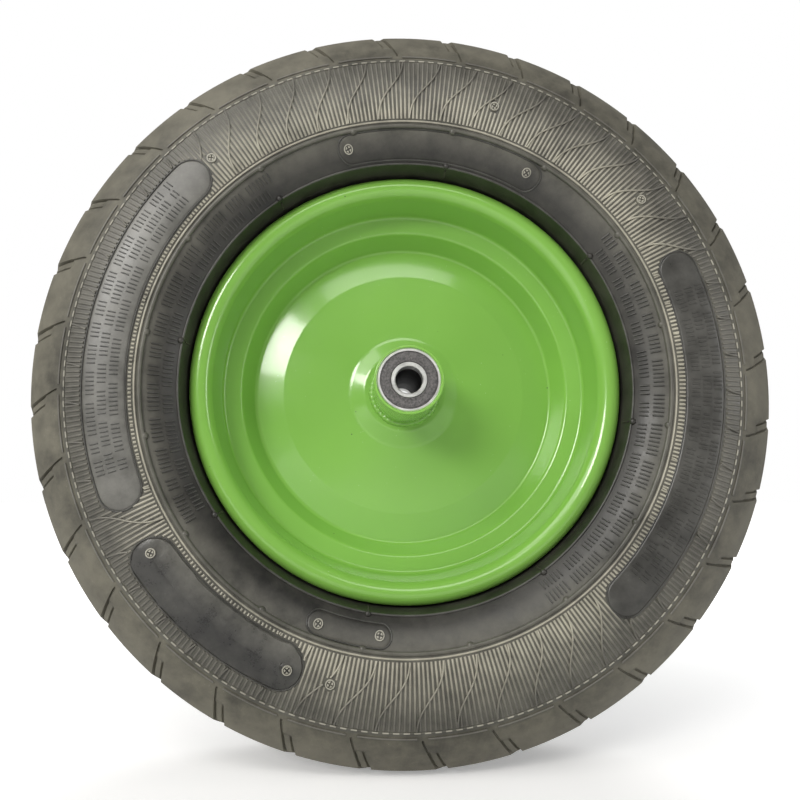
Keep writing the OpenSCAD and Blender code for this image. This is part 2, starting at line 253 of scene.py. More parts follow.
def block(base: Sequence[Vector], top: Sequence[Vector]) -> tuple[list[Vector], list[tuple[int, ...]]]:
    """Close a solid between two outlines with the same number of points.

    Args:
        base: the lower outline, clockwise as seen from the top.
        top: the upper outline, in the same order.

    Returns:
        Its points and faces.
    """
    n = len(base)
    faces: list[tuple[int, ...]] = [tuple(range(n)), tuple(range(2 * n - 1, n - 1, -1))]
    faces += [(i, n + i, n + (i + 1) % n, (i + 1) % n) for i in range(n)]
    return [*base, *top], faces


def joined(name: str, solids: Iterable[tuple[Sequence[Vector], Sequence[Sequence[int]]]],
           finish: bpy.types.Material) -> bpy.types.Object:
    """Put many small solids in one piece.

    Args:
        name: the piece's name.
        solids: points and faces of each.
        finish: their material.

    Returns:
        The piece.
    """
    points: list[Vector] = []
    faces: list[tuple[int, ...]] = []
    for more, sides in solids:
        start = len(points)
        points += more
        faces += [tuple(start + i for i in side) for side in sides]
    return make_mesh(name, points, faces, finish)


# ---------------------------------------------------------------- geometry node trees

class NodeTool:
    """A Geometry Nodes tree that is run once on a guide mesh and leaves a plain mesh."""

    def __init__(self, name: str, sizes: dict[str, str]) -> None:
        """Start a tree.

        Args:
            name: the tree's name.
            sizes: name and socket type of each input.
        """
        self.tree = bpy.data.node_groups.new(name, "GeometryNodeTree")
        face = self.tree.interface
        face.new_socket("Guide", in_out="INPUT", socket_type="NodeSocketGeometry")
        for label, kind in sizes.items():
            face.new_socket(label, in_out="INPUT", socket_type=kind)
        face.new_socket("Finish", in_out="INPUT", socket_type="NodeSocketMaterial")
        face.new_socket("Result", in_out="OUTPUT", socket_type="NodeSocketGeometry")
        self.inputs = self.tree.nodes.new("NodeGroupInput")
        self.output = self.tree.nodes.new("NodeGroupOutput")
        self.build()

    def build(self) -> None:
        """Add the tree's own nodes."""
        raise NotImplementedError

    def node(self, kind: str, **values: object) -> bpy.types.Node:
        """Add a node and set its properties."""
        made = self.tree.nodes.new(kind)
        for key, value in values.items():
            setattr(made, key, value)
        return made

    def link(self, a: bpy.types.NodeSocket, b: bpy.types.NodeSocket) -> None:
        """Join two sockets."""
        self.tree.links.new(a, b)

    def close(self, shape: bpy.types.NodeSocket) -> None:
        """End the tree: smooth, real geometry with its material."""
        smooth = self.node("GeometryNodeSetShadeSmooth")
        real = self.node("GeometryNodeRealizeInstances")
        paint = self.node("GeometryNodeSetMaterial")
        self.link(shape, real.inputs["Geometry"])
        self.link(real.outputs[0], smooth.inputs["Geometry"])
        self.link(smooth.outputs[0], paint.inputs["Geometry"])
        self.link(self.inputs.outputs["Finish"], paint.inputs["Material"])
        self.link(paint.outputs[0], self.output.inputs[0])

    def run(self, name: str, guide: bpy.types.Mesh, finish: bpy.types.Material,
            **values: float) -> bpy.types.Object:
        """Apply the tree to a guide.

        Args:
            name: the piece's name.
            guide: the guide mesh, which is used up.
            finish: the material.
            **values: an input's name and value.

        Returns:
            A plain mesh object.
        """
        holder = bpy.data.objects.new(name, guide)
        bpy.context.scene.collection.objects.link(holder)
        modifier = holder.modifiers.new("tool", "NODES")
        modifier.node_group = self.tree
        for item in self.tree.interface.items_tree:
            if item.in_out == "INPUT" and item.name in values:
                modifier[item.identifier] = values[item.name]
            elif item.in_out == "INPUT" and item.name == "Finish":
                modifier[item.identifier] = finish
        seen = bpy.context.evaluated_depsgraph_get()
        mesh = bpy.data.meshes.new_from_object(holder.evaluated_get(seen))
        holder.modifiers.clear()
        holder.data = mesh
        bpy.data.meshes.remove(guide)
        mesh.name = name
        return holder


class Cord(NodeTool):
    """Gives guide lines a round section: mould lines, ribs and threads."""

    def __init__(self) -> None:
        """Name the inputs."""
        super().__init__("round_line", {"Radius": "NodeSocketFloat", "Sides": "NodeSocketInt"})

    def build(self) -> None:
        """Sweep a circle along the guide."""
        curve = self.node("GeometryNodeMeshToCurve")
        ring = self.node("GeometryNodeCurvePrimitiveCircle", mode="RADIUS")
        sweep = self.node("GeometryNodeCurveToMesh")
        self.link(self.inputs.outputs["Guide"], curve.inputs[0])
        self.link(self.inputs.outputs["Radius"], ring.inputs["Radius"])
        self.link(self.inputs.outputs["Sides"], ring.inputs["Resolution"])
        self.link(curve.outputs[0], sweep.inputs["Curve"])
        self.link(ring.outputs[0], sweep.inputs["Profile Curve"])
        sweep.inputs["Fill Caps"].default_value = True
        self.close(sweep.outputs[0])


class Studs(NodeTool):
    """Puts a small round stud on every guide point."""

    def __init__(self) -> None:
        """Name the inputs."""
        super().__init__("round_studs", {"Radius": "NodeSocketFloat"})

    def build(self) -> None:
        """Instance a ball on each point."""
        dots = self.node("GeometryNodeMeshToPoints")
        ball = self.node("GeometryNodeMeshUVSphere")
        ball.inputs["Segments"].default_value = 12
        ball.inputs["Rings"].default_value = 6
        place = self.node("GeometryNodeInstanceOnPoints")
        self.link(self.inputs.outputs["Guide"], dots.inputs[0])
        self.link(self.inputs.outputs["Radius"], ball.inputs["Radius"])
        self.link(dots.outputs[0], place.inputs["Points"])
        self.link(ball.outputs["Mesh"], place.inputs["Instance"])
        self.close(place.outputs[0])


def guide_mesh(name: str, lines: Iterable[Sequence[Vector]], closed: bool = False) -> bpy.types.Mesh:
    """Make a mesh of bare lines.

    Args:
        name: the mesh's name.
        lines: the points of each line.
        closed: whether each line returns to its start.

    Returns:
        The mesh, with edges only.
    """
    points: list[tuple[float, ...]] = []
    edges: list[tuple[int, int]] = []
    for line in lines:
        start, n = len(points), len(line)
        points += [tuple(p) for p in line]
        edges += [(start + i, start + i + 1) for i in range(n - 1)]
        if closed:
            edges.append((start + n - 1, start))
    mesh = bpy.data.meshes.new(name)
    mesh.from_pydata(points, edges, [])
    return mesh


# ---------------------------------------------------------------- finishes

class Shading:
    """A material's node tree, with one method for each kind of node used here."""

    def __init__(self, name: str) -> None:
        """Start a material with a Principled shader on Object coordinates."""
        self.material = bpy.data.materials.new(name)
        self.material.use_nodes = True
        self.tree = self.material.node_tree
        self.shader = self.tree.nodes["Principled BSDF"]
        self.where = self.tree.nodes.new("ShaderNodeTexCoord").outputs["Object"]

    def put(self, socket: str, value: object) -> None:
        """Set a constant on the shader itself."""
        self.shader.inputs[socket].default_value = value

    def feed(self, socket: str, source: bpy.types.NodeSocket) -> None:
        """Drive a shader socket."""
        self.tree.links.new(source, self.shader.inputs[socket])

    def noise(self, scale: float, detail: float = 4.0, rough: float = 0.55) -> bpy.types.NodeSocket:
        """Cloudy pattern with cells of about 1 / scale metres."""
        node = self.tree.nodes.new("ShaderNodeTexNoise")
        node.inputs["Scale"].default_value = scale
        node.inputs["Detail"].default_value = detail
        node.inputs["Roughness"].default_value = rough
        self.tree.links.new(self.where, node.inputs["Vector"])
        return node.outputs["Fac"]

    def specks(self, scale: float, size: float) -> bpy.types.NodeSocket:
        """Round spots: 1 inside, 0 outside, at one cell in 1 / scale metres."""
        node = self.tree.nodes.new("ShaderNodeTexVoronoi")
        node.inputs["Scale"].default_value = scale
        self.tree.links.new(self.where, node.inputs["Vector"])
        return self.span(node.outputs["Distance"], size, size * 0.55, 0.0, 1.0)

    def rings(self, scale: float, wander: float = 0.4) -> bpy.types.NodeSocket:
        """Turning marks round the axle."""
        node = self.tree.nodes.new("ShaderNodeTexWave")
        node.wave_type = "RINGS"
        node.rings_direction = "Y"
        node.inputs["Scale"].default_value = scale
        node.inputs["Distortion"].default_value = wander
        node.inputs["Detail"].default_value = 3.0
        self.tree.links.new(self.where, node.inputs["Vector"])
        return node.outputs["Fac"]

    def distance(self) -> bpy.types.NodeSocket:
        """Distance from the object's origin in metres."""
        size = self.tree.nodes.new("ShaderNodeVectorMath")
        size.operation = "LENGTH"
        self.tree.links.new(self.where, size.inputs[0])
        return size.outputs["Value"]

    def radius(self) -> bpy.types.NodeSocket:
        """Distance from the axle in metres."""
        flat = self.tree.nodes.new("ShaderNodeVectorMath")
        flat.operation = "MULTIPLY"
        flat.inputs[1].default_value = (1.0, 0.0, 1.0)
        self.tree.links.new(self.where, flat.inputs[0])
        size = self.tree.nodes.new("ShaderNodeVectorMath")
        size.operation = "LENGTH"
        self.tree.links.new(flat.outputs["Vector"], size.inputs[0])
        return size.outputs["Value"]

    def span(self, value: bpy.types.NodeSocket, a: float, b: float, to_a: float, to_b: float
             ) -> bpy.types.NodeSocket:
        """Map a range to another, held at its ends."""
        node = self.tree.nodes.new("ShaderNodeMapRange")
        for key, number in zip(("From Min", "From Max", "To Min", "To Max"), (a, b, to_a, to_b)):
            node.inputs[key].default_value = number
        self.tree.links.new(value, node.inputs["Value"])
        return node.outputs["Result"]

    def math(self, kind: str, a: bpy.types.NodeSocket, b: object) -> bpy.types.NodeSocket:
        """Combine two values."""
        node = self.tree.nodes.new("ShaderNodeMath")
        node.operation = kind
        self.tree.links.new(a, node.inputs[0])
        if isinstance(b, (int, float)):
            node.inputs[1].default_value = b
        else:
            self.tree.links.new(b, node.inputs[1])
        return node.outputs[0]

    def colours(self, value: bpy.types.NodeSocket, stops: Sequence[tuple[float, Colour]]
                ) -> bpy.types.NodeSocket:
        """Turn a value into colours along a ramp."""
        node = self.tree.nodes.new("ShaderNodeValToRGB")
        ramp = node.color_ramp
        while len(ramp.elements) < len(stops):
            ramp.elements.new(0.5)
        for element, (at, colour) in zip(ramp.elements, stops):
            element.position = at
            element.color = (*colour, 1.0)
        self.tree.links.new(value, node.inputs["Fac"])
        return node.outputs["Color"]

    def mix(self, amount: bpy.types.NodeSocket, a: object, b: object) -> bpy.types.NodeSocket:
        """Blend two colours, each a socket or a plain colour."""
        node = self.tree.nodes.new("ShaderNodeMix")
        node.data_type = "RGBA"
        self.tree.links.new(amount, node.inputs["Factor"])
        for key, colour in ((6, a), (7, b)):
            if isinstance(colour, tuple):
                node.inputs[key].default_value = (*colour, 1.0)
            else:
                self.tree.links.new(colour, node.inputs[key])
        return node.outputs[2]

    def bump(self, height: bpy.types.NodeSocket, depth: float, strength: float = 1.0,
             under: Optional[bpy.types.NodeSocket] = None) -> bpy.types.NodeSocket:
        """Small relief, depth in millimetres."""
        node = self.tree.nodes.new("ShaderNodeBump")
        node.inputs["Strength"].default_value = strength
        node.inputs["Distance"].default_value = depth * MM
        self.tree.links.new(height, node.inputs["Height"])
        if under is not None:
            self.tree.links.new(under, node.inputs["Normal"])
        return node.outputs["Normal"]


@dataclass(frozen=True)
class RubberFinish:
    """Moulded rubber in dark and dusty tones that change at random, with pale dust specks where it has been rubbed
    and dusted.

    Within the band of radii in `bloom` the colour is also painted paler towards `pale`: a painted sheen for the
    light those faces catch, with dust. It is strongest at the band's first radius and gone at the second.
    """

    name: str
    deep: Colour
    dusty: Colour
    bloom: Pair = (0.0, 0.0)
    pale: Colour = (0.4, 0.38, 0.31)
    smooth: float = 0.36
    rough: float = 0.6
    grain: float = 0.05
    flow: float = 0.25

    def build(self) -> bpy.types.Material:
        """Returns the material."""
        s = Shading(self.name)
        blotch, smear, grit = s.noise(16, 5, 0.6), s.noise(75, 6, 0.7), s.noise(900, 3, 0.6)
        level = s.math("ADD", s.math("MULTIPLY", blotch, 0.5), s.math("MULTIPLY", smear, 0.5))
        base = s.colours(level, ((0.38, self.deep), (0.62, self.dusty)))
        # Painted sheen with dust: the band of radii is painted paler, fading out across the band.
        if self.bloom[0] != self.bloom[1]:
            reach = s.span(s.radius(), self.bloom[0] * MM, self.bloom[1] * MM, 1.0, 0.0)
            reach = s.math("MULTIPLY", reach, s.span(level, 0.38, 0.6, 0.35, 1.0))
            base = s.mix(reach, base, self.pale)
        dots = s.math("MULTIPLY", s.specks(520, 0.16), s.span(smear, 0.5, 0.7, 0.0, 0.5))
        base = s.mix(dots, base, tuple(min(1.0, c * 1.6 + 0.03) for c in self.dusty))
        s.feed("Base Color", base)
        worn = s.math("ADD", s.math("MULTIPLY", smear, 0.7), s.math("MULTIPLY", grit, 0.3))
        s.feed("Roughness", s.span(worn, 0.3, 0.7, self.smooth, self.rough))
        relief = s.bump(s.noise(45, 4, 0.5), self.flow, 0.7)
        s.feed("Normal", s.bump(grit, self.grain, 0.8, relief))
        s.put("IOR", 1.52)
        return s.material


@dataclass(frozen=True)
class PaintFinish:
    """Gloss powder coat with orange peel, dust and a few chips."""

    name: str
    colour: Colour
    shade: Colour
    roughness: tuple[float, float] = (0.14, 0.26)

    def build(self) -> bpy.types.Material:
        """Returns the material."""
        s = Shading(self.name)
        cloud, fine = s.noise(9, 3), s.noise(260, 4, 0.6)
        base = s.colours(cloud, ((0.35, self.shade), (0.65, self.colour)))
        dust = s.math("MULTIPLY", s.specks(230, 0.09), s.span(s.noise(34, 3), 0.5, 0.62, 0.0, 0.35))
        chips = s.math("MULTIPLY", s.specks(110, 0.055), s.span(s.noise(19, 2), 0.52, 0.6, 0.0, 1.0))
        base = s.mix(dust, base, (0.5, 0.66, 0.38))
        s.feed("Base Color", s.mix(chips, base, (0.07, 0.12, 0.04)))
        haze = s.math("ADD", s.math("MULTIPLY", fine, 0.4), s.math("MULTIPLY", s.noise(30, 5), 0.6))
        s.feed("Roughness", s.span(haze, 0.35, 0.68, *self.roughness))
        peel = s.bump(s.noise(620, 2, 0.5), 0.028, 0.7)
        s.feed("Normal", s.bump(s.noise(26, 2), 0.2, 0.35, peel))
        s.put("IOR", 1.5)
        s.put("Coat Weight", 0.5)
        s.put("Coat Roughness", 0.08)
        return s.material


@dataclass(frozen=True)
class MetalFinish:
    """Turned or rolled metal."""

    name: str
    colour: Colour
    stain: Colour
    roughness: tuple[float, float] = (0.18, 0.38)
    ring_scale: float = 900.0
    ring_depth: float = 0.012

    def build(self) -> bpy.types.Material:
        """Returns the material."""
        s = Shading(self.name)
        cloud = s.noise(120, 5, 0.65)
        s.feed("Base Color", s.colours(cloud, ((0.35, self.stain), (0.6, self.colour))))
        s.feed("Roughness", s.span(cloud, 0.3, 0.7, *self.roughness))
        marks = s.bump(s.rings(self.ring_scale), self.ring_depth, 0.6)
        s.feed("Normal", s.bump(s.noise(1400, 3), 0.01, 0.5, marks))
        s.put("Metallic", 1.0)
        return s.material


@dataclass(frozen=True)
class SealFinish:
    """Nitrile seal face with circling scuffs and fine dust."""

    name: str
    colour: Colour
    pale: Colour

    def build(self) -> bpy.types.Material:
        """Returns the material."""
        s = Shading(self.name)
        cloud = s.noise(900, 5, 0.7)
        s.feed("Base Color", s.colours(cloud, ((0.38, self.colour), (0.66, self.pale))))
        s.feed("Roughness", s.span(cloud, 0.3, 0.7, 0.4, 0.62))
        marks = s.bump(s.rings(700, 1.5), 0.03, 0.6)
        s.feed("Normal", s.bump(s.noise(1800, 3), 0.04, 0.8, marks))
        return s.material


@dataclass(frozen=True)
class FloorFinish:
    """Pale matt studio floor that glows for camera rays, more with distance from the wheel: painted light."""

    name: str = "studio_floor"

    def build(self) -> bpy.types.Material:
        """Returns the material."""
        s = Shading(self.name)
        s.feed("Base Color", s.colours(s.noise(2, 3), ((0.4, (0.86, 0.86, 0.86)), (0.6, (0.9, 0.9, 0.9)))))
        s.put("Roughness", 0.8)
        s.put("Emission Color", (1.0, 1.0, 1.0, 1.0))
        # Painted glow: emission seen by camera rays only, rising with distance from the origin.
        path = s.tree.nodes.new("ShaderNodeLightPath")
        glow = s.span(s.distance(), 0.2, 0.9, 0.28, 0.95)
        s.feed("Emission Strength", s.math("MULTIPLY", glow, path.outputs["Is Camera Ray"]))
        return s.material


@dataclass
class Finishes:
    """Every finish on the wheel, built once."""

    tread: bpy.types.Material = field(init=False)
    wall: bpy.types.Material = field(init=False)
    rib: bpy.types.Material = field(init=False)
    crest: bpy.types.Material = field(init=False)
    plate: bpy.types.Material = field(init=False)
    bright_plate: bpy.types.Material = field(init=False)
    blank: bpy.types.Material = field(init=False)
    bead: bpy.types.Material = field(init=False)
    butyl: bpy.types.Material = field(init=False)
    cap: bpy.types.Material = field(init=False)
    paint: bpy.types.Material = field(init=False)
    ground: bpy.types.Material = field(init=False)
    oiled: bpy.types.Material = field(init=False)
    pressed: bpy.types.Material = field(init=False)
    brass: bpy.types.Material = field(init=False)
    bronze: bpy.types.Material = field(init=False)
    seal: bpy.types.Material = field(init=False)

    def __post_init__(self) -> None:
        """Build the materials."""
        # The radius bands of the tread, wall, rib and blank finishes are painted sheen with dust: paler colour
        # where those faces catch the light. The rib and crest finishes are paler copies of the wall rubber for
        # raised ribs and marks: dust and painted sheen on their tops.
        self.tread = RubberFinish("tread_rubber", (0.05, 0.047, 0.037), (0.16, 0.15, 0.115), (205, 188),
                                  (0.17, 0.16, 0.125), 0.48, 0.7, 0.06, 0.4).build()
        self.wall = RubberFinish("wall_rubber", (0.012, 0.0115, 0.01), (0.045, 0.042, 0.036), (142, 130),
                                 (0.13, 0.125, 0.103), 0.27, 0.55).build()
        self.rib = RubberFinish("rib_rubber", (0.09, 0.086, 0.073), (0.17, 0.162, 0.14), (152, 176),
                                (0.46, 0.435, 0.35), 0.28, 0.5, 0.03, 0.1).build()
        self.crest = RubberFinish("crest_rubber", (0.24, 0.23, 0.19), (0.46, 0.44, 0.37), smooth=0.3,
                                  rough=0.5, grain=0.03, flow=0.05).build()
        self.plate = RubberFinish("plate_rubber", (0.03, 0.029, 0.026), (0.085, 0.083, 0.075), smooth=0.26,
                                  rough=0.46, grain=0.03, flow=0.2).build()
        # A painted-light copy of the plate rubber: the same rubber in paler tones, a painted highlight for the
        # plate on the lit side.
        self.bright_plate = RubberFinish("bright_plate_rubber", (0.08, 0.078, 0.07), (0.17, 0.166, 0.15),
                                         smooth=0.26, rough=0.46, grain=0.03, flow=0.2).build()
        self.blank = RubberFinish("blank_plate_rubber", (0.018, 0.0175, 0.017), (0.07, 0.068, 0.062), (149, 162),
                                  (0.16, 0.155, 0.135), 0.22, 0.4, 0.09, 0.8).build()
        self.bead = RubberFinish("bead_rubber", (0.028, 0.026, 0.021), (0.062, 0.058, 0.046), smooth=0.42,
                                 rough=0.6).build()
        self.butyl = RubberFinish("butyl", (0.03, 0.03, 0.032), (0.065, 0.065, 0.068)).build()
        self.cap = RubberFinish("cap_plastic", (0.018, 0.018, 0.018), (0.045, 0.045, 0.043), smooth=0.4,
                                rough=0.55, grain=0.02, flow=0.02).build()
        self.paint = PaintFinish("green_paint", (0.225, 0.485, 0.078), (0.2, 0.44, 0.068)).build()
        self.ground = MetalFinish("ground_steel", (0.95, 0.95, 0.92), (0.84, 0.84, 0.81), (0.3, 0.45)).build()
        self.oiled = MetalFinish("oiled_steel", (0.05, 0.05, 0.05), (0.02, 0.02, 0.02), (0.5, 0.7)).build()
        self.pressed = MetalFinish("pressed_steel", (0.6, 0.6, 0.6), (0.42, 0.42, 0.42), (0.3, 0.5)).build()
        self.brass = MetalFinish("brass", (0.78, 0.6, 0.3), (0.55, 0.4, 0.2), (0.25, 0.45)).build()
        self.bronze = MetalFinish("bronze_wire", (0.5, 0.36, 0.22), (0.35, 0.25, 0.15), (0.3, 0.5)).build()
        self.seal = SealFinish("seal_face", (0.05, 0.048, 0.048), (0.17, 0.16, 0.158)).build()


# ---------------------------------------------------------------- tyre

@dataclass
class Plate:
    """A raised or sunk plate on the sidewall with round ends."""

    name: str
    start: float
    stop: float
    inner: float
    outer: float
    lift: float = 0.35
    finish: str = "wall"
    ragged: float = 0.0

    def holds(self, radius: float, turn: float, margin: float = 0.8) -> bool:
        """Whether a point lies on the plate or within a margin of it.

        Args:
            radius: the point's radius.
            turn: the point's turn.
            margin: width of the border, in millimetres.

        Returns:
            True inside.
        """
        middle, half = (self.inner + self.outer) / 2, (self.outer - self.inner) / 2
        reach = math.radians((self.stop - self.start) / 2) * middle - half
        mid_turn = (self.start + self.stop) / 2
        along = abs(math.radians((turn - mid_turn + 180) % 360 - 180)) * middle
        return math.hypot(max(along - reach, 0.0), radius - middle) < half + margin

    def outline(self, shrink: float = 0.0, step: float = 1.5) -> list[Pair]:
        """The plate's edge as radius and turn.

        Args:
            shrink: how far inside the edge.
            step: degrees between points on the long sides.

        Returns:
            A closed outline.
        """
        middle, half = (self.inner + self.outer) / 2, (self.outer - self.inner) / 2 - shrink
        end = math.degrees(((self.outer - self.inner) / 2) / middle)
        a, b = self.start + end, self.stop - end
        count = max(2, int((b - a) / step))
        long_side = [a + (b - a) * i / count for i in range(count + 1)]
        cap = [math.radians(90 - 180 * i / 12) for i in range(1, 12)]
        path = [(middle + half, t) for t in long_side]
        path += [(middle + half * math.sin(c), b + math.degrees(half * math.cos(c) / middle)) for c in cap]
        path += [(middle - half, t) for t in reversed(long_side)]
        path += [(middle - half * math.sin(c), a - math.degrees(half * math.cos(c) / middle)) for c in cap]
        return path


@dataclass
class Tyre:
    """Treaded rubber tyre with moulded sidewalls."""

    finishes: Finishes
    cord: Cord
    studs: Studs
    radius: float
    rim_radius: float
    width: float = 109.0
    tread_width: float = 76.0
    crown_drop: float = 3.5
    tread_depth: float = 9.0
    ply: float = 4.0
    wall: float = 5.0
    pitches: int = 32
    groove_width: float = 6.5
    groove_depth: float = 6.0
    groove_foot: float = 9.2
    ribs: int = 424
    scrolls: int = 54
    bead_stud_count: int = 8
    ring_stud_count: int = 16
    first_bead_stud: float = 9.9
    first_ring_stud: float = 9.85
    ring_radius: float = 142.5
    rib_start: float = 146.4
    rib_end: float = 180.4
    marks: tuple[Pair, ...] = ((160.9, 17.2), (163.7, 51.9), (161.3, 194.5), (161.6, 318.1), (135.1, 29.3),
                               (134.1, 345.4), (134.8, 186.6), (136.0, 200.3), (161.3, 202.6), (160.1, 235.4))
    plates: tuple[Plate, ...] = (
        Plate("size_plate", -16.8, 32.8, 127.2, 140.4, 0.3),
        Plate("load_plate", 64.0, 138.9, 150.3, 170.6, 0.45, "plate"),
        Plate("ply_plate", 184.2, 202.7, 129.6, 140.2, 0.3),
        Plate("name_plate", 200.0, 238.0, 149.6, 172.6, 1.1, "blank", 0.45),
        # The care plate takes the painted-light copy of the plate rubber: painted highlight.
        Plate("care_plate", 244.7, 316.1, 149.7, 171.2, 0.45, "bright_plate"))

    def __post_init__(self) -> None:
        """Work out the section's curves."""
        self.shoulder = (self.radius - self.crown_drop, self.tread_width / 2)
        self.bead_line = (self.rim_radius + 3.5, self.width / 2 - 12.5)
        out, up = self.width / 2 - self.shoulder[1] + 3, self.width / 2 + 6.5
        self.skin = bezier(self.shoulder, (self.shoulder[0] - 20, self.shoulder[1] + out),
                           (self.bead_line[0] + 18.5, up), self.bead_line, 180)
        self.crown = bezier((self.radius, 0), (self.radius, self.tread_width / 6),
                            (self.radius - self.crown_drop / 3, self.tread_width / 3), self.shoulder, 12)
        self.seam = self.skin[50]
        self.middle = ((self.radius + self.bead_line[0]) / 2 - 3, 0.0)

    def on_wall(self, radius: float, lift: float = 0.0) -> Pair:
        """A point on the sidewall.

        Args:
            radius: how far from the axle.
            lift: how far proud of the skin.

        Returns:
            Radius and distance ahead.
        """
        for p, q in zip(self.skin, self.skin[1:]):
            if q[0] <= radius:
                break
        t = (p[0] - radius) / (p[0] - q[0])
        d = (Vector(q) - Vector(p)).normalized()
        return radius - d.y * -lift, p[1] + (q[1] - p[1]) * t - d.x * lift

    def wall_spot(self, side: Side, radius: float, turn: float, lift: float = 0.0) -> Vector:
        """A point on either sidewall, in metres."""
        r, h = self.on_wall(radius, lift)
        return spot(r, h * side.value, turn)

    def inset(self, path: Sequence[Pair], depth: Callable[[int], float]) -> list[Pair]:
        """Draw a path in towards the middle of the section.

        Args:
            path: the outer path.
            depth: how far, for each point's number.

        Returns:
            The inner path.
        """
        c = Vector(self.middle)
        moved = [c + (Vector(p) - c) * (1 - depth(i) / (Vector(p) - c).length) for i, p in enumerate(path)]
        return [(v.x, v.y) for v in moved]

    def casing(self) -> list[bpy.types.Object]:
        """The cord casing with both sidewalls and beads."""
        side = self.skin[50::5]
        thin = self.skin[0:50:5]
        under_tread = self.inset([*self.crown, *thin[1:]],
                                 lambda i: self.tread_depth * min(1.0, (len(self.crown) + 9 - i) / 10))
        count = len(self.crown) + len(thin) - 1
        inner_depth = self.tread_depth + self.ply
        cavity = self.inset([*self.crown, *thin[1:], *side],
                            lambda i: inner_depth + (self.wall - inner_depth)
                            * min(1.0, max(0.0, (i - len(self.crown) + 1) / (count - len(self.crown)))))
        heel_r, heel_h = self.rim_radius + 1.6, 24.5
        bead = rounded([side[-1], (heel_r, 31.5), (heel_r, heel_h), (110.9, heel_h), (109.2, 11.0),
                        (heel_r - 4.5, 12.0), cavity[-1]], [0, 3, 1.5, 2, 1.5, 3, 0], 5)
        half = [*under_tread, *side[:-1], *bead, *reversed(cavity[:-1])]
        loop = [*half, *reversed(mirrored(half[1:-1]))]
        return [revolve("casing", loop, self.finishes.wall, 360)]

    def tread(self) -> bpy.types.Object:
        """The tread rubber, with a slanted groove a pitch on each shoulder and two grooves round."""
        pitch = 360 / self.pitches
        near, far = 0.445, 0.58
        foot = 0.565
        columns = (0.0, 0.1, 0.2, 0.3, 0.38, 0.425, near, 0.46, 0.475, 0.52, foot - 0.015, foot, far,
                   0.587, 0.6, 0.66, 0.76, 0.88)
        ring_in, ring_out = 10.2, 14.2
        rows = self.tread_rows(ring_in, ring_out)
        points, n = [], len(columns)

        def tie_depth(ahead: float) -> float:
            return 0.9 if abs(ahead) > 31.5 else self.groove_depth

        for (r, h), (nr, nh) in rows:
            depth = self.lateral_depth(r, abs(h))
            cut = 1.1 if abs(h) > 36 and 186.2 < r < 203 else 0.0
            round_cut = self.groove_depth if ring_in < abs(h) < ring_out else 0.0
            shift = self.lean(r, h, pitch)
            for k in range(self.pitches):
                for u in columns:
                    slit = u < 0.47 or u > foot - 0.001
                    d = (depth if slit else min(depth, tie_depth(h))) if near <= u <= far else 0.0
                    d = max(d, cut if foot - 0.001 < u < far + 0.001 else 0.0, round_cut)
                    turn = self.groove_foot + pitch * (k + u - foot) + shift
                    points.append(spot(r - nr * d, h - nh * d, turn))
        across = n * self.pitches
        low = self.inset([p for p, _ in rows], lambda i: self.under(rows[i][0]))
        for (r, h), ((r0, h0), _) in zip(low, rows):
            shift = self.lean(r0, h0, pitch)
            for k in range(self.pitches):
                points += [spot(r, h, self.groove_foot + pitch * (k + u - foot) + shift) for u in columns]
        faces = []
        m = len(rows)
        for i in range(m - 1):
            for j in range(across):
                a, b = i * across + j, i * across + (j + 1) % across
                faces.append((a, a + across, b + across, b))
                a, b = a + m * across, b + m * across
                faces.append((b, b + across, a + across, a))
        for j in range(across):
            k = (j + 1) % across
            faces.append((k, m * across + k, m * across + j, j))
            last = (m - 1) * across
            faces.append((last + j, m * across + last + j, m * across + last + k, last + k))
        return make_mesh("tread", points, faces, self.finishes.tread, 28)

    def tread_rows(self, ring_in: float, ring_out: float) -> list[tuple[Pair, Pair]]:
        """Rows of the tread from the front seam over the crown to the rear seam.

        Args:
            ring_in: inner edge of the groove round the tread.
            ring_out: its outer edge.

        Returns:
            Each row's point and outward normal.
        """
        half = [*self.crown, *self.skin[3:51:3]]
        if half[-1] != self.seam:
            half.append(self.seam)
        edges = [ring_in - 0.2, ring_in + 0.3, ring_out - 0.3, ring_out + 0.2, 19.0, 20.2, 31.0, 31.8]
        path = [p for p in half if all(abs(p[1] - e) > 0.25 for e in edges)]
        for e in edges:
            p, q = next((p, q) for p, q in zip(half, half[1:]) if q[1] >= e)
            t = (e - p[1]) / (q[1] - p[1])
            path.append((p[0] + (q[0] - p[0]) * t, e))
        path.sort(key=lambda p: (p[1] if p[0] > self.shoulder[0] - 0.01 else 100 - p[0] / 10))
        rows = []
        for i, p in enumerate(path):
            a, b = Vector(path[max(i - 1, 0)]), Vector(path[min(i + 1, len(path) - 1)])
            d = (b - a).normalized()
            rows.append((p, (d.y, -d.x) if i else (1.0, 0.0)))
        front = list(reversed(rows))
        return [*front, *[((r, -h), (nr, -nh)) for (r, h), (nr, nh) in rows[1:]]]

    def lateral_depth(self, r: float, h: float) -> float:
        """Depth of a shoulder groove, with its tie bar and the ramp at its mouth.

        Args:
            r: radius of the skin.
            h: distance from the middle plane.

        Returns:
            The depth.
        """
        if h < 19.5:
            return 0.0
        if r < self.shoulder[0] - 0.01:
            return 2.0 * max(0.0, min(1.0, (r - 192.5) / 3.0))
        return 2.0 if h > 31.5 else self.groove_depth

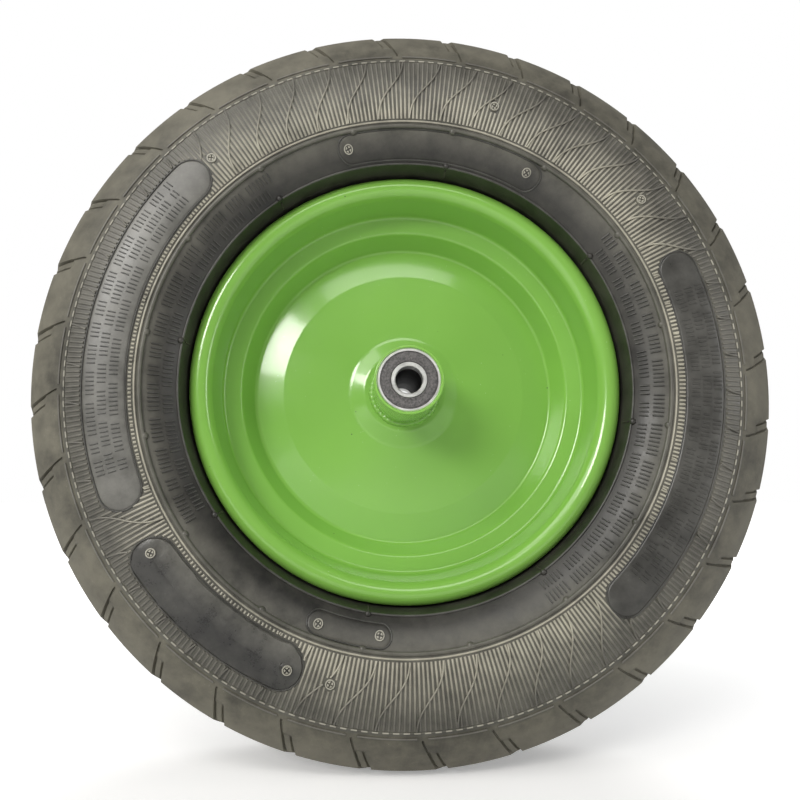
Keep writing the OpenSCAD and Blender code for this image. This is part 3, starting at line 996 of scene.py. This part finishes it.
    def lean(self, r: float, h: float, pitch: float) -> float:
        """Turn of a groove's line at a row; it leans back as it runs over the shoulder.

        Args:
            r: radius of the skin.
            h: distance ahead of the middle plane.
            pitch: degrees in a pitch.

        Returns:
            The turn to add.
        """
        def front_lean(radius: float, ahead: float) -> float:
            if ahead > self.shoulder[1]:
                return -2.2 * max(0.0, (radius - 186.5) / (self.shoulder[0] - 186.5))
            return -2.2 - 0.23 * (self.shoulder[1] - ahead)
        blend_from = 9.0
        if abs(h) >= blend_from:
            return front_lean(r, abs(h)) + (pitch / 2 if h < 0 else 0.0)
        edge = front_lean(r, blend_from)
        return edge + pitch / 2 * (blend_from - h) / (2 * blend_from)

    def under(self, p: Pair) -> float:
        """Thickness of the tread rubber under a point."""
        if abs(p[1]) <= self.shoulder[1]:
            return self.tread_depth - 0.05
        t = (p[0] - self.seam[0]) / (self.shoulder[0] - self.seam[0])
        return max(0.02, (self.tread_depth - 0.05) * min(1.0, max(0.0, t)))

    def free_runs(self, line: Sequence[Pair], margin: float = 0.8) -> list[list[Pair]]:
        """Cut a line of radius and turn where it meets a plate or a screw mark.

        Args:
            line: the line.
            margin: clear border round each plate.

        Returns:
            The stretches left.
        """
        runs: list[list[Pair]] = [[]]
        for radius, turn in line:
            on_mark = any(math.hypot(radius - m[0], math.radians((turn - m[1] + 180) % 360 - 180) * radius) < 3.0
                          for m in self.marks)
            if on_mark or any(p.holds(radius, turn, margin) for p in self.plates):
                runs.append([])
            else:
                runs[-1].append((radius, turn))
        return [run for run in runs if len(run) > 1]

    def lines(self, name: str, side: Side, paths: Iterable[Sequence[Pair]], radius: float, lift: float,
              finish: bpy.types.Material, closed: bool = False, sides: int = 6) -> bpy.types.Object:
        """Raise round mould lines on a sidewall.

        Args:
            name: the piece's name.
            side: which sidewall.
            paths: lines as radius and turn.
            radius: the section's radius.
            lift: height of its centre.
            finish: the material.
            closed: whether the lines close.
            sides: flats round the section.

        Returns:
            The piece.
        """
        world = [[self.wall_spot(side, r, t, lift) for r, t in path] for path in paths]
        guide = guide_mesh(name, world, closed)
        return self.cord.run(f"{side.word}_{name}", guide, finish, Radius=radius * MM, Sides=sides)

    def rib_lines(self) -> list[list[Pair]]:
        """Ribs that stand across the sidewall, cut at the plates."""
        steps = 22
        out = []
        for k in range(self.ribs):
            turn = 360 * k / self.ribs
            line = [(self.rib_start + (self.rib_end - self.rib_start) * i / steps, turn) for i in range(steps + 1)]
            out += self.free_runs(line)
        return out

    def scroll_lines(self) -> list[list[Pair]]:
        """Thin leaning curves over the ribs."""
        steps, sweep = 26, 5.6
        out = []
        for k in range(self.scrolls):
            line = []
            for i in range(steps + 1):
                t = i / steps
                swing = t - math.sin(2 * math.pi * t) * 0.11
                line.append((self.rib_start + (self.rib_end - self.rib_start) * t,
                             360 * k / self.scrolls + sweep * swing))
            out += self.free_runs(line, 1.2)
        return out

    def circle(self, radius: float, start: float = 0.0, stop: float = 360.0) -> list[Pair]:
        """Part of a circle on the sidewall, with a point every degree and a half."""
        count = max(2, int((stop - start) / 1.5))
        last = count if stop - start >= 360 else count + 1
        return [(radius, start + (stop - start) * i / count) for i in range(last)]

    def ticks(self, inner: float, outer: float, start: float, stop: float, seed: int) -> list[list[Pair]]:
        """Plain upright strokes in groups, which stand where a sidewall carries its data.

        Args:
            inner: inner radius.
            outer: outer radius.
            start: first turn.
            stop: last turn.
            seed: seed for the groups' lengths.

        Returns:
            The strokes.
        """
        rng = random.Random(seed)
        spacing = math.degrees(2.3 / ((inner + outer) / 2))
        out, turn, left = [], start, rng.randint(3, 8)
        while turn < stop:
            out.append([(inner + (outer - inner) * i / 3, turn) for i in range(4)])
            left -= 1
            turn += spacing if left else spacing * 2.2
            left = left or rng.randint(3, 9)
        return out

    def sidewall(self, side: Side) -> list[bpy.types.Object]:
        """Everything moulded on one sidewall.

        Args:
            side: which sidewall.

        Returns:
            The pieces.
        """
        f = self.finishes
        pitch = 360 / self.pitches
        rng = random.Random(3)
        out = [
            self.lines("wall_ribs", side, self.rib_lines(), 0.66, 0.05, f.rib),
            self.lines("wall_scrolls", side, self.scroll_lines(), 0.5, 0.8, f.rib),
            self.lines("wall_ring", side, [self.circle(self.ring_radius)], 1.25, 0.35, f.wall, True, 10),
            self.lines("wall_ring_edge", side, [self.circle(145.0)], 0.55, 0.25, f.rib, True),
            self.lines("bead_ring", side, [self.circle(self.bead_line[0] + 0.5)], 0.7, 0.2, f.plate, True, 8),
            self.lines("rib_stop", side, [self.circle(181.6)], 0.5, 0.0, f.wall, True)]
        dashes = [self.circle(181.5, t, t + 1.0) for t in (360 * k / 212 for k in range(212))]
        out.append(self.lines("rib_stop_ticks", side, dashes, 0.42, 0.42, f.crest))
        slip = 0.0 if side is Side.FRONT else pitch / 2
        bars = [self.circle(184.6, self.groove_foot + slip + pitch * k + 0.9,
                            self.groove_foot + slip + pitch * (k + 1) - 0.9) for k in range(self.pitches)]
        out.append(self.lines("shoulder_bars", side, bars, 0.5, 0.35, f.rib))
        flash = []
        for k in range(self.bead_stud_count):
            turn = self.first_bead_stud + 45 * k
            path = [(self.rim_radius + 1.8, 33.0), (self.bead_line[0] - 0.6, self.bead_line[1] - 2)]
            flash.append([spot(r, h * side.value, turn) for r, h in path])
        guide = guide_mesh("flash", flash)
        out.append(self.cord.run(f"{side.word}_bead_flash", guide, f.bead, Radius=0.5 * MM, Sides=6))
        dots = [self.wall_spot(side, self.bead_line[0] + 1.0, self.first_bead_stud + 45 * k, 0.1)
                for k in range(self.bead_stud_count)]
        out.append(self.studs.run(f"{side.word}_bead_studs", guide_mesh("dots", [[d] for d in dots]), f.wall,
                                  Radius=1.9 * MM))
        dots = [self.wall_spot(side, self.ring_radius - 0.6, self.first_ring_stud + 22.5 * k, -0.2)
                for k in range(self.ring_stud_count)]
        out.append(self.studs.run(f"{side.word}_ring_studs", guide_mesh("dots", [[d] for d in dots]), f.wall,
                                  Radius=2.1 * MM))
        out += [self.plate(side, p) for p in self.plates]
        edge_lines = [p.outline(-0.6) for p in self.plates]
        out.append(self.lines("plate_edges", side, edge_lines, 0.42, 0.25, f.plate, True))
        out.append(self.screw_marks(side))
        data = [(133.9, 139.0, 53.4, 149.3), (127.9, 131.9, 55.4, 147.3), (133.4, 138.6, 236.8, 325.9),
                (127.4, 131.6, 238.0, 324.0)]
        data += [(r, r + 4.2, a, b) for r in (153.0, 159.0, 165.0) for a, b in ((71.5, 131.5), (252.0, 309.0))]
        strokes = [s for i, row in enumerate(data) for s in self.ticks(*row, seed=i + rng.randint(0, 9))]
        out.append(self.lines("plain_strokes", side, strokes, 0.42, 0.5, f.plate, sides=5))
        return out

    def plate(self, side: Side, shape: Plate) -> bpy.types.Object:
        """A plate that follows the sidewall, with a rounded edge.

        Args:
            side: which sidewall.
            shape: the plate.

        Returns:
            The piece.
        """
        half = (shape.outer - shape.inner) / 2
        spine = half - 0.02
        shrinks = [0.9, *(half * k / 6 for k in range(2, 6)), spine]
        rings = [(shrink, -0.6) for shrink in reversed(shrinks)]
        rings += [(0.0, -0.6), (0.0, shape.lift * 0.4), (0.35, shape.lift * 0.85)]
        rings += [(shrink, shape.lift) for shrink in shrinks]
        rng = random.Random(11)
        count = len(shape.outline())
        edge = [rng.uniform(-shape.ragged, shape.ragged) for _ in range(count)]
        points: list[Vector] = []
        for shrink, lift in rings:
            for i, (r, t) in enumerate(shape.outline(shrink)):
                inward = 1 if r < (shape.inner + shape.outer) / 2 else -1
                dent = edge[i] * inward * (1 - shrink / spine)
                lump = rng.uniform(-0.6, 0.6) * shape.ragged if lift == shape.lift else 0.0
                points.append(self.wall_spot(side, r + dent, t, lift + lump))
        n, faces = count, []
        for k in range(len(rings) - 1):
            faces += [(k * n + i, k * n + (i + 1) % n, (k + 1) * n + (i + 1) % n, (k + 1) * n + i)
                      for i in range(n)]
        last = (len(rings) - 1) * n
        long_side = (n - 22) // 2
        for start, flip in ((0, True), (last, False)):
            closing = [[start + i, start + i + 1, start + n - 12 - i - 1, start + n - 12 - i]
                       for i in range(long_side - 1)]
            closing.append([start + i for i in range(long_side - 1, long_side + 12)])
            closing.append([start + i % n for i in range(n - 12, n + 1)])
            faces += [tuple(reversed(face)) if flip else tuple(face) for face in closing]
        if side is Side.REAR:
            faces = [tuple(reversed(face)) for face in faces]
        return make_mesh(f"{side.word}_{shape.name}", points, faces, getattr(self.finishes, shape.finish))

    def screw_marks(self, side: Side) -> bpy.types.Object:
        """Round prints of the mould's cross-head screws: four raised quarters in a ring."""
        solids = []
        for radius, turn in self.marks:
            base = max([0.35] + [p.lift + p.ragged for p in self.plates if p.holds(radius, turn, 0.0)])
            for quarter in range(4):
                start = quarter * 90 + 14 + turn
                fan = [(0.55, start + 31.0)] + [(1.55, start + 62 * i / 5) for i in range(6)]
                solids.append(self.mark_solid(side, radius, turn, fan, base + 0.7))
            for piece in range(24):
                a, b = piece * 15.0, piece * 15.0 + 15.0
                ring = [(1.95, a), (2.5, a), (2.5, b), (1.95, b)]
                solids.append(self.mark_solid(side, radius, turn, ring, base + 0.8))
        return joined(f"{side.word}_screw_marks", solids, self.finishes.crest)

    def mark_solid(self, side: Side, radius: float, turn: float, shape: Sequence[Pair], lift: float
                   ) -> tuple[list[Vector], list[tuple[int, ...]]]:
        """A small solid on the sidewall round a mark's centre.

        Args:
            side: which sidewall.
            radius: the centre's radius.
            turn: the centre's turn.
            shape: outline as distance and angle round the centre.
            lift: height of its top.

        Returns:
            Points and faces.
        """
        flat = []
        for reach, angle in shape:
            a = math.radians(angle)
            flat.append((radius + reach * math.cos(a), turn + math.degrees(reach * math.sin(a) / radius)))
        base = [self.wall_spot(side, r, t, -0.3) for r, t in flat]
        top = [self.wall_spot(side, r, t, lift) for r, t in flat]
        points, faces = block(base, top)
        if side is Side.FRONT:
            faces = [tuple(reversed(face)) for face in faces]
        return points, faces

    def build(self) -> None:
        """Make the tyre and let it ride on the wheel."""
        pieces = self.casing()
        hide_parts("tyre_casing")
        band = self.tread()
        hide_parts("tyre_tread")
        pieces.append(band)
        for side in Side:
            pieces += self.sidewall(side)
        for piece in pieces:
            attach(piece, "wheel")
            LOG.info("%s: %d faces", piece.name, len(piece.data.polygons))


# ---------------------------------------------------------------- rim and hub

@dataclass
class Rim:
    """Two steel pressings welded together, and the hub tube welded in them."""

    finishes: Finishes
    rim_radius: float
    roll_front: float
    hub_radius: float
    hub_half: float
    sheet: float = 2.0
    roll: float = 6.5
    seat_taper: float = 2.3
    channel: float = 8.0
    channel_radius: float = 96.3
    crease: Pair = (90.5, -9.0)
    press_line: float = 73.0
    valve_radius: float = 101.2
    valve_hole: float = 4.3

    def __post_init__(self) -> None:
        """Work out the section."""
        self.roll_centre = (self.rim_radius - self.roll + 1, self.roll_front - self.roll)
        self.seat_end = (self.roll_centre[0] - self.roll, self.roll_centre[1])
        self.seat_start = (self.seat_end[0] - self.seat_taper, self.channel)

    def pressing(self, path: Sequence[Pair]) -> list[Pair]:
        """Give a path the sheet's thickness, with a rounded edge at the roll."""
        back = beside(path, self.sheet)
        end = Vector(path[-1]), Vector(back[-1])
        mid, half = (end[0] + end[1]) / 2, (end[1] - end[0]) / 2
        away = Vector((half.y, -half.x))
        away = away if away.dot(Vector(path[-1]) - Vector(path[-2])) > 0 else -away
        nose = [mid - half * math.cos(a) + away * 0.7 * math.sin(a)
                for a in (math.radians(180 * i / 6) for i in range(1, 6))]
        return [*path, *[(v.x, v.y) for v in nose], *reversed(back)]

    def disc(self) -> bpy.types.Object:
        """The front pressing: rolled edge, seat, channel and the full disc."""
        corners = [(self.hub_radius, 0.5), (self.hub_radius + 5, 0.5), (self.hub_radius + 14, -3.0),
                   (self.hub_radius + 32, -4.2), (self.press_line, self.crease[1] + 3.4), self.crease,
                   (self.channel_radius, self.channel - 2), self.seat_start, self.seat_end]
        path = rounded(corners, [0, 6, 10, 30, 10, 2.2, 2.5, 2.5, 0], 10)
        path += arc(self.roll_centre, self.roll, 180, 20, 22)[1:]
        return revolve("rim_front", self.pressing(path), self.finishes.paint, 320, crease=50)

    def ring(self) -> bpy.types.Object:
        """The rear pressing: a ring with the same edge, pierced for the valve."""
        steps = 320
        path = rounded([(94.05, self.channel), self.seat_start, self.seat_end], [0, 2.5, 0], 10)
        path += arc(self.roll_centre, self.roll, 180, 20, 22)[1:]
        piece = revolve("rim_rear", mirrored(self.pressing(path)), self.finishes.paint, steps, crease=50)
        cutter = self.hole_cutter()
        trim = piece.modifiers.new("hole", "BOOLEAN")
        trim.operation = "DIFFERENCE"
        trim.object = cutter
        seen = bpy.context.evaluated_depsgraph_get()
        mesh = bpy.data.meshes.new_from_object(piece.evaluated_get(seen))
        piece.modifiers.clear()
        piece.data = mesh
        bpy.data.objects.remove(cutter)
        return piece

    def hole_cutter(self) -> bpy.types.Object:
        """A plug the size of the valve hole."""
        count = 32
        rims = []
        for y in (2.0, 14.0):
            rims.append([Vector((self.valve_hole * math.cos(2 * math.pi * i / count), y,
                                 -self.valve_radius + self.valve_hole * math.sin(2 * math.pi * i / count))) * MM
                         for i in range(count)])
        points, faces = block(rims[1], rims[0])
        return make_mesh("hole_cutter", points, faces, self.finishes.paint)

    def weld(self, name: str, radius: float, ahead: float, size: float, ripples: int, seed: int
             ) -> bpy.types.Object:
        """A weld bead laid by hand round the axle.

        Args:
            name: the piece's name.
            radius: radius of its centre line.
            ahead: where it lies.
            size: its section's radius.
            ripples: ripples round the circle.
            seed: seed of the uneven hand.

        Returns:
            The bead.
        """
        rng = random.Random(seed)
        phases = [rng.uniform(0, 360) for _ in range(3)]
        sides = 12
        loop = arc((radius, ahead), size, 0, 360 - 360 / sides, sides - 1)

        def uneven(i: int, turn: float) -> Pair:
            a = math.radians(360 * i / sides)
            ripple = abs(math.sin(math.radians(turn * ripples / 2))) * 0.16
            drift = sum(0.05 * math.sin(math.radians(turn * k + p)) for k, p in zip((3, 7, 13), phases))
            grow = size * (ripple + drift - 0.12)
            return grow * math.cos(a), grow * math.sin(a)
        return revolve(name, loop, self.finishes.paint, 420, uneven, 70)

    def tube(self) -> bpy.types.Object:
        """The hub tube with its bearing seats."""
        r, end = self.hub_radius, self.hub_half
        seat, bore, stop = r - 1.5, r - 3.0, end - 11.5
        lines = [3.1, 5.0, 6.7]
        half = [(r, 0.0)]
        for h in lines:
            half += [(r + 0.1, h - 0.35), (r - 0.22, h), (r + 0.1, h + 0.35)]
        half += [(r, lines[-1] + 0.8)]
        half += rounded([(r, 12.0), (r, end), (seat + 0.35, end), (seat + 0.02, end - 0.5), (seat, stop),
                         (bore, stop), (bore, 0.0)], [0, 0.55, 0.1, 0, 0, 0.3, 0], 5)
        return revolve("hub", [*half, *reversed(mirrored(half[1:-1]))], self.finishes.paint, 160)

    def build(self) -> None:
        """Make the rim and hub and let them ride on the wheel."""
        made = {"rim_disc": self.disc(), "rim_ring": self.ring(), "hub_tube": self.tube(),
                "rim_weld": self.weld("rim_seam_weld", 94.3, -9.0, 2.0, 150, 5),
                "front_hub_weld": self.weld("front_root_weld", self.hub_radius + 0.5, 0.9, 1.9, 44, 7),
                "rear_hub_weld": self.weld("rear_root_weld", self.hub_radius + 0.5, -1.9, 1.9, 40, 9)}
        for node, piece in made.items():
            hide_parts(node)
            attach(piece, "wheel")
            LOG.info("%s: %d faces", piece.name, len(piece.data.polygons))


# ---------------------------------------------------------------- bearings

@dataclass
class Bearing:
    """The shown rings and seals of a sealed ball bearing; its inner pieces stay as they are."""

    finishes: Finishes
    side: Side
    outer: float
    bore: float
    face: float
    width: float = 11.0
    chamfer: float = 0.55
    seal_inner: float = 9.78
    seal_outer: float = 15.8

    def ring_loop(self, r0: float, r1: float, round_r0: float, round_r1: float) -> list[Pair]:
        """A ring's section with rounded corners.

        Args:
            r0: inner radius.
            r1: outer radius.
            round_r0: rounding of the inner corners.
            round_r1: rounding of the outer corners.

        Returns:
            The closed outline, measured back from the face.
        """
        w, mid = self.width, (r0 + r1) / 2
        a, b = round_r0, round_r1
        return [(mid, 0.0), (r1 - b, 0.0), (r1, -b), (r1, b - w), (r1 - b, -w), (r0 + a, -w), (r0, a - w),
                (r0, -a), (r0 + a, 0.0)]

    def turned(self, name: str, loop: Sequence[Pair], finish: bpy.types.Material, steps: int = 128
               ) -> bpy.types.Object:
        """Revolve a section given from the bearing's outer face."""
        placed = [(r, (self.face + h) * self.side.value) for r, h in loop]
        return revolve(f"{self.side.word}_{name}", placed, finish, steps)

    def seal_loop(self, back: float) -> list[Pair]:
        """A seal's section: a raised lip, a dished face and a rolled outer edge."""
        a, b = self.seal_inner, self.seal_outer
        face = [(a, -1.0), (a + 0.28, -0.9), (a + 0.36, -0.2), (a + 0.75, -0.12), (a + 0.95, -0.42),
                (a + 1.5, -0.42), (a + 1.65, -0.28), (b - 1.05, -0.24), (b - 0.9, -0.42), (b - 0.6, -0.42),
                (b - 0.45, -0.22), (b - 0.3, -0.25), (b - 0.24, -1.0), (b, -1.0)]
        return [*face, (b, -back), (a, -back)]

    def build(self) -> None:
        """Make the pieces and let them ride on their bodies."""
        name = self.side.word
        outer = self.turned("race_outer", self.ring_loop(self.seal_outer, self.outer, 0.12, self.chamfer),
                            self.finishes.ground)
        inner = self.turned("race_inner", self.ring_loop(self.bore, 9.7, self.chamfer, 0.15),
                            self.finishes.ground)
        cover = self.turned("seal_cover", self.seal_loop(1.6), self.finishes.seal)
        shell = [outer, cover]
        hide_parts(f"{name}_bearing_outer_seal")
        for piece in shell:
            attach(piece, "wheel")
        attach(inner, "axle_set")
        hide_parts(f"{name}_bearing_outer_ring")
        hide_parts(f"{name}_bearing_inner_ring")
        LOG.info("%s bearing: %d pieces", name, 3)


# ---------------------------------------------------------------- valve

@dataclass
class Valve:
    """The valve on the rear face: threaded stem end and knurled dust cap."""

    finishes: Finishes
    cord: Cord
    centre: float
    stem: float
    cap_low: float
    cap_high: float
    cap_radius: float = 5.08
    cap_bore: float = 3.98
    knurls: int = 24
    pitch: float = 0.794

    def around(self, radius: float, back: float, angle: float) -> Vector:
        """A point round the valve's own axis, in metres."""
        a = math.radians(angle)
        return Vector((radius * math.cos(a), back, -self.centre + radius * math.sin(a))) * MM

    def cap(self) -> bpy.types.Object:
        """The dust cap: a skirt with a rounded crown."""
        lo, hi, r, b = self.cap_low, self.cap_high, self.cap_radius, self.cap_bore
        outer = rounded([(r - 0.25, lo), (r, lo + 0.4), (r, hi - 1.2), (r - 1.1, hi), (0.05, hi)],
                        [0, 0, 0.9, 0.9, 0], 6)
        inner = [(0.05, hi - 1.4), (b, hi - 1.4), (b, lo)]
        loop = [*outer, *inner]
        steps, n = 48, len(loop)
        points = [self.around(q, y, 360 * k / steps) for k in range(steps) for q, y in loop]
        faces = [(k * n + i, (k + 1) % steps * n + i, (k + 1) % steps * n + (i + 1) % n, k * n + (i + 1) % n)
                 for k in range(steps) for i in range(n) if i != len(outer) - 1]
        for i in (len(outer) - 1, len(outer)):
            hub = tuple(k * n + i for k in range(steps))
            faces.append(hub if i == len(outer) - 1 else tuple(reversed(hub)))
        return make_mesh("dust_cap", points, faces, self.finishes.cap)

    def grip(self) -> bpy.types.Object:
        """The knurls down the cap's side."""
        lines = [[self.around(self.cap_radius, self.cap_low + 0.5 + (self.cap_high - self.cap_low - 2.2) * i / 4,
                              360 * k / self.knurls) for i in range(5)] for k in range(self.knurls)]
        return self.cord.run("dust_cap_grip", guide_mesh("grip", lines), self.finishes.cap,
                             Radius=0.42 * MM, Sides=8)

    def thread(self) -> bpy.types.Object:
        """The screw thread on the stem's outer end."""
        start, stop, per_turn = 20.0, 37.4, 20
        count = int((stop - start) / self.pitch * per_turn)
        line = [self.around(self.stem - 0.09, start + self.pitch * i / per_turn, 360 * i / per_turn)
                for i in range(count)]
        return self.cord.run("stem_thread", guide_mesh("thread", [line]), self.finishes.brass,
                             Radius=0.15 * MM, Sides=5)

    def build(self) -> None:
        """Make the pieces and let them ride on their bodies."""
        cap, grip, thread = self.cap(), self.grip(), self.thread()
        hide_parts("valve_cap")
        for piece in (cap, grip):
            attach(piece, "valve_cap")
        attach(thread, "wheel")
        LOG.info("valve: cap, grip and thread")


# ---------------------------------------------------------------- kept nodes and studio

def dress_kept_nodes(finishes: Finishes) -> None:
    """Give the CAD nodes that stay their finishes.

    Args:
        finishes: the finishes.
    """
    by_slot = {"green_paint": finishes.paint, "tyre_rubber": finishes.wall, "butyl": finishes.butyl,
               "seal_rubber": finishes.seal, "brass": finishes.brass, "cap_plastic": finishes.cap,
               "bead_wire": finishes.bronze, "cage_steel": finishes.pressed, "bright_steel": finishes.ground}
    for part in frame["record"]["subparts"]:
        node = frame["nodes"][part["node"]]
        finish = by_slot[part["material_slot"]]
        if part["node"] == "spacer_tube":
            finish = finishes.oiled
        node.data.materials.clear()
        node.data.materials.append(finish)
        LOG.info("%s keeps its shape in %s", node.name, finish.name)


@dataclass
class Studio:
    """Pale floor, soft lights and the camera."""

    floor_height: float
    eye: tuple[float, float, float] = (-23.3, -451.8, -61.6)
    yaw: float = 2.61
    rise: float = 7.14
    lens: float = 34.07
    fill_level: float = 0.3
    gloss_level: float = 0.22

    def floor(self) -> None:
        """A pale floor that reaches past every view."""
        size = 12.0
        points = [Vector((x * size, y * size, self.floor_height)) for x, y in ((-1, -1), (1, -1), (1, 1), (-1, 1))]
        make_mesh("studio_floor", points, [(0, 1, 2, 3)], FloorFinish().build())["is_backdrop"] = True

    def lamp(self, name: str, place: tuple[float, float, float], size: tuple[float, float], power: float,
             colour: Colour = (1.0, 1.0, 1.0)) -> None:
        """A soft box that faces the wheel.

        Args:
            name: the lamp's name.
            place: where it stands, in metres.
            size: its width and height, in metres.
            power: watts.
            colour: its tint.
        """
        data = bpy.data.lights.new(name, "AREA")
        data.shape = "ELLIPSE"
        data.size, data.size_y = size
        data.energy = power
        data.color = colour
        lamp = bpy.data.objects.new(name, data)
        lamp.location = place
        lamp.rotation_mode = "QUATERNION"
        lamp.rotation_quaternion = (-Vector(place)).to_track_quat("-Z", "Y")
        bpy.context.scene.collection.objects.link(lamp)

    def light(self) -> None:
        """Even pale surroundings with a key from the upper left."""
        world = bpy.data.worlds.new("studio")
        world.use_nodes = True
        tree = world.node_tree
        back = tree.nodes["Background"]
        back.inputs["Color"].default_value = (1.0, 1.0, 1.0, 1.0)
        path = tree.nodes.new("ShaderNodeLightPath")
        level: bpy.types.NodeSocket | None = None
        for ray, strength in (("Is Glossy Ray", self.gloss_level), ("Is Camera Ray", 1.0)):
            mix = tree.nodes.new("ShaderNodeMix")
            mix.data_type = "FLOAT"
            tree.links.new(path.outputs[ray], mix.inputs["Factor"])
            mix.inputs[2].default_value = self.fill_level
            if level is not None:
                tree.links.new(level, mix.inputs[2])
            mix.inputs[3].default_value = strength
            level = mix.outputs[0]
        tree.links.new(level, back.inputs["Strength"])
        bpy.context.scene.world = world
        self.lamp("key", (-0.85, -1.35, 0.55), (0.65, 0.45), 12, (1.0, 0.985, 0.95))
        self.lamp("high", (-1.1, -1.0, 1.25), (1.1, 1.1), 9.5, (1.0, 0.98, 0.94))
        self.lamp("front", (-0.1, -1.7, 1.35), (1.3, 0.7), 8, (1.0, 0.985, 0.95))
        self.lamp("side", (1.5, -0.9, 0.2), (0.3, 0.9), 4)
        self.lamp("back", (0.6, 1.6, 1.2), (1.2, 1.0), 14)

    def camera(self) -> None:
        """The camera, a little below and left of the axle."""
        data = bpy.data.cameras.new("camera")
        data.lens = self.lens
        data.sensor_width = 36.0
        data.clip_start, data.clip_end = 0.01, 50.0
        eye = bpy.data.objects.new("camera", data)
        yaw, rise = math.radians(self.yaw), math.radians(self.rise)
        look = Vector((math.sin(yaw) * math.cos(rise), math.cos(yaw) * math.cos(rise), math.sin(rise)))
        eye.location = Vector(self.eye) * MM
        eye.rotation_mode = "QUATERNION"
        eye.rotation_quaternion = look.to_track_quat("-Z", "Y")
        bpy.context.scene.collection.objects.link(eye)
        bpy.context.scene.camera = eye

    def build(self) -> None:
        """Set the studio up."""
        self.floor()
        self.light()
        self.camera()
        bpy.context.scene.view_settings.view_transform = "Standard"


def main() -> None:
    """Build the wheel in order and report it."""
    logging.basicConfig(level=logging.INFO, format="%(name)s %(message)s")
    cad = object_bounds()
    high = {n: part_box(n)[1] / MM for n in frame["nodes"]}
    finishes, cord, studs = Finishes(), Cord(), Studs()
    dress_kept_nodes(finishes)
    rim_radius = 121.0
    Tyre(finishes, cord, studs, radius=high["tyre_tread"].z, rim_radius=rim_radius).build()
    Rim(finishes, rim_radius=rim_radius, roll_front=high["rim_ring"].y, hub_radius=high["hub_tube"].z,
        hub_half=high["hub_tube"].y).build()
    for side in Side:
        Bearing(finishes, side, outer=high["front_bearing_outer_ring"].z, bore=7.5,
                face=high["rear_bearing_outer_ring"].y).build()
    low_cap, high_cap = (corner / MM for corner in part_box("valve_cap"))
    Valve(finishes, cord, centre=101.2, stem=3.9, cap_low=low_cap.y, cap_high=high_cap.y).build()
    Studio(floor_height=cad[0].z - 0.0002).build()


if __name__ == "__main__":
    main()
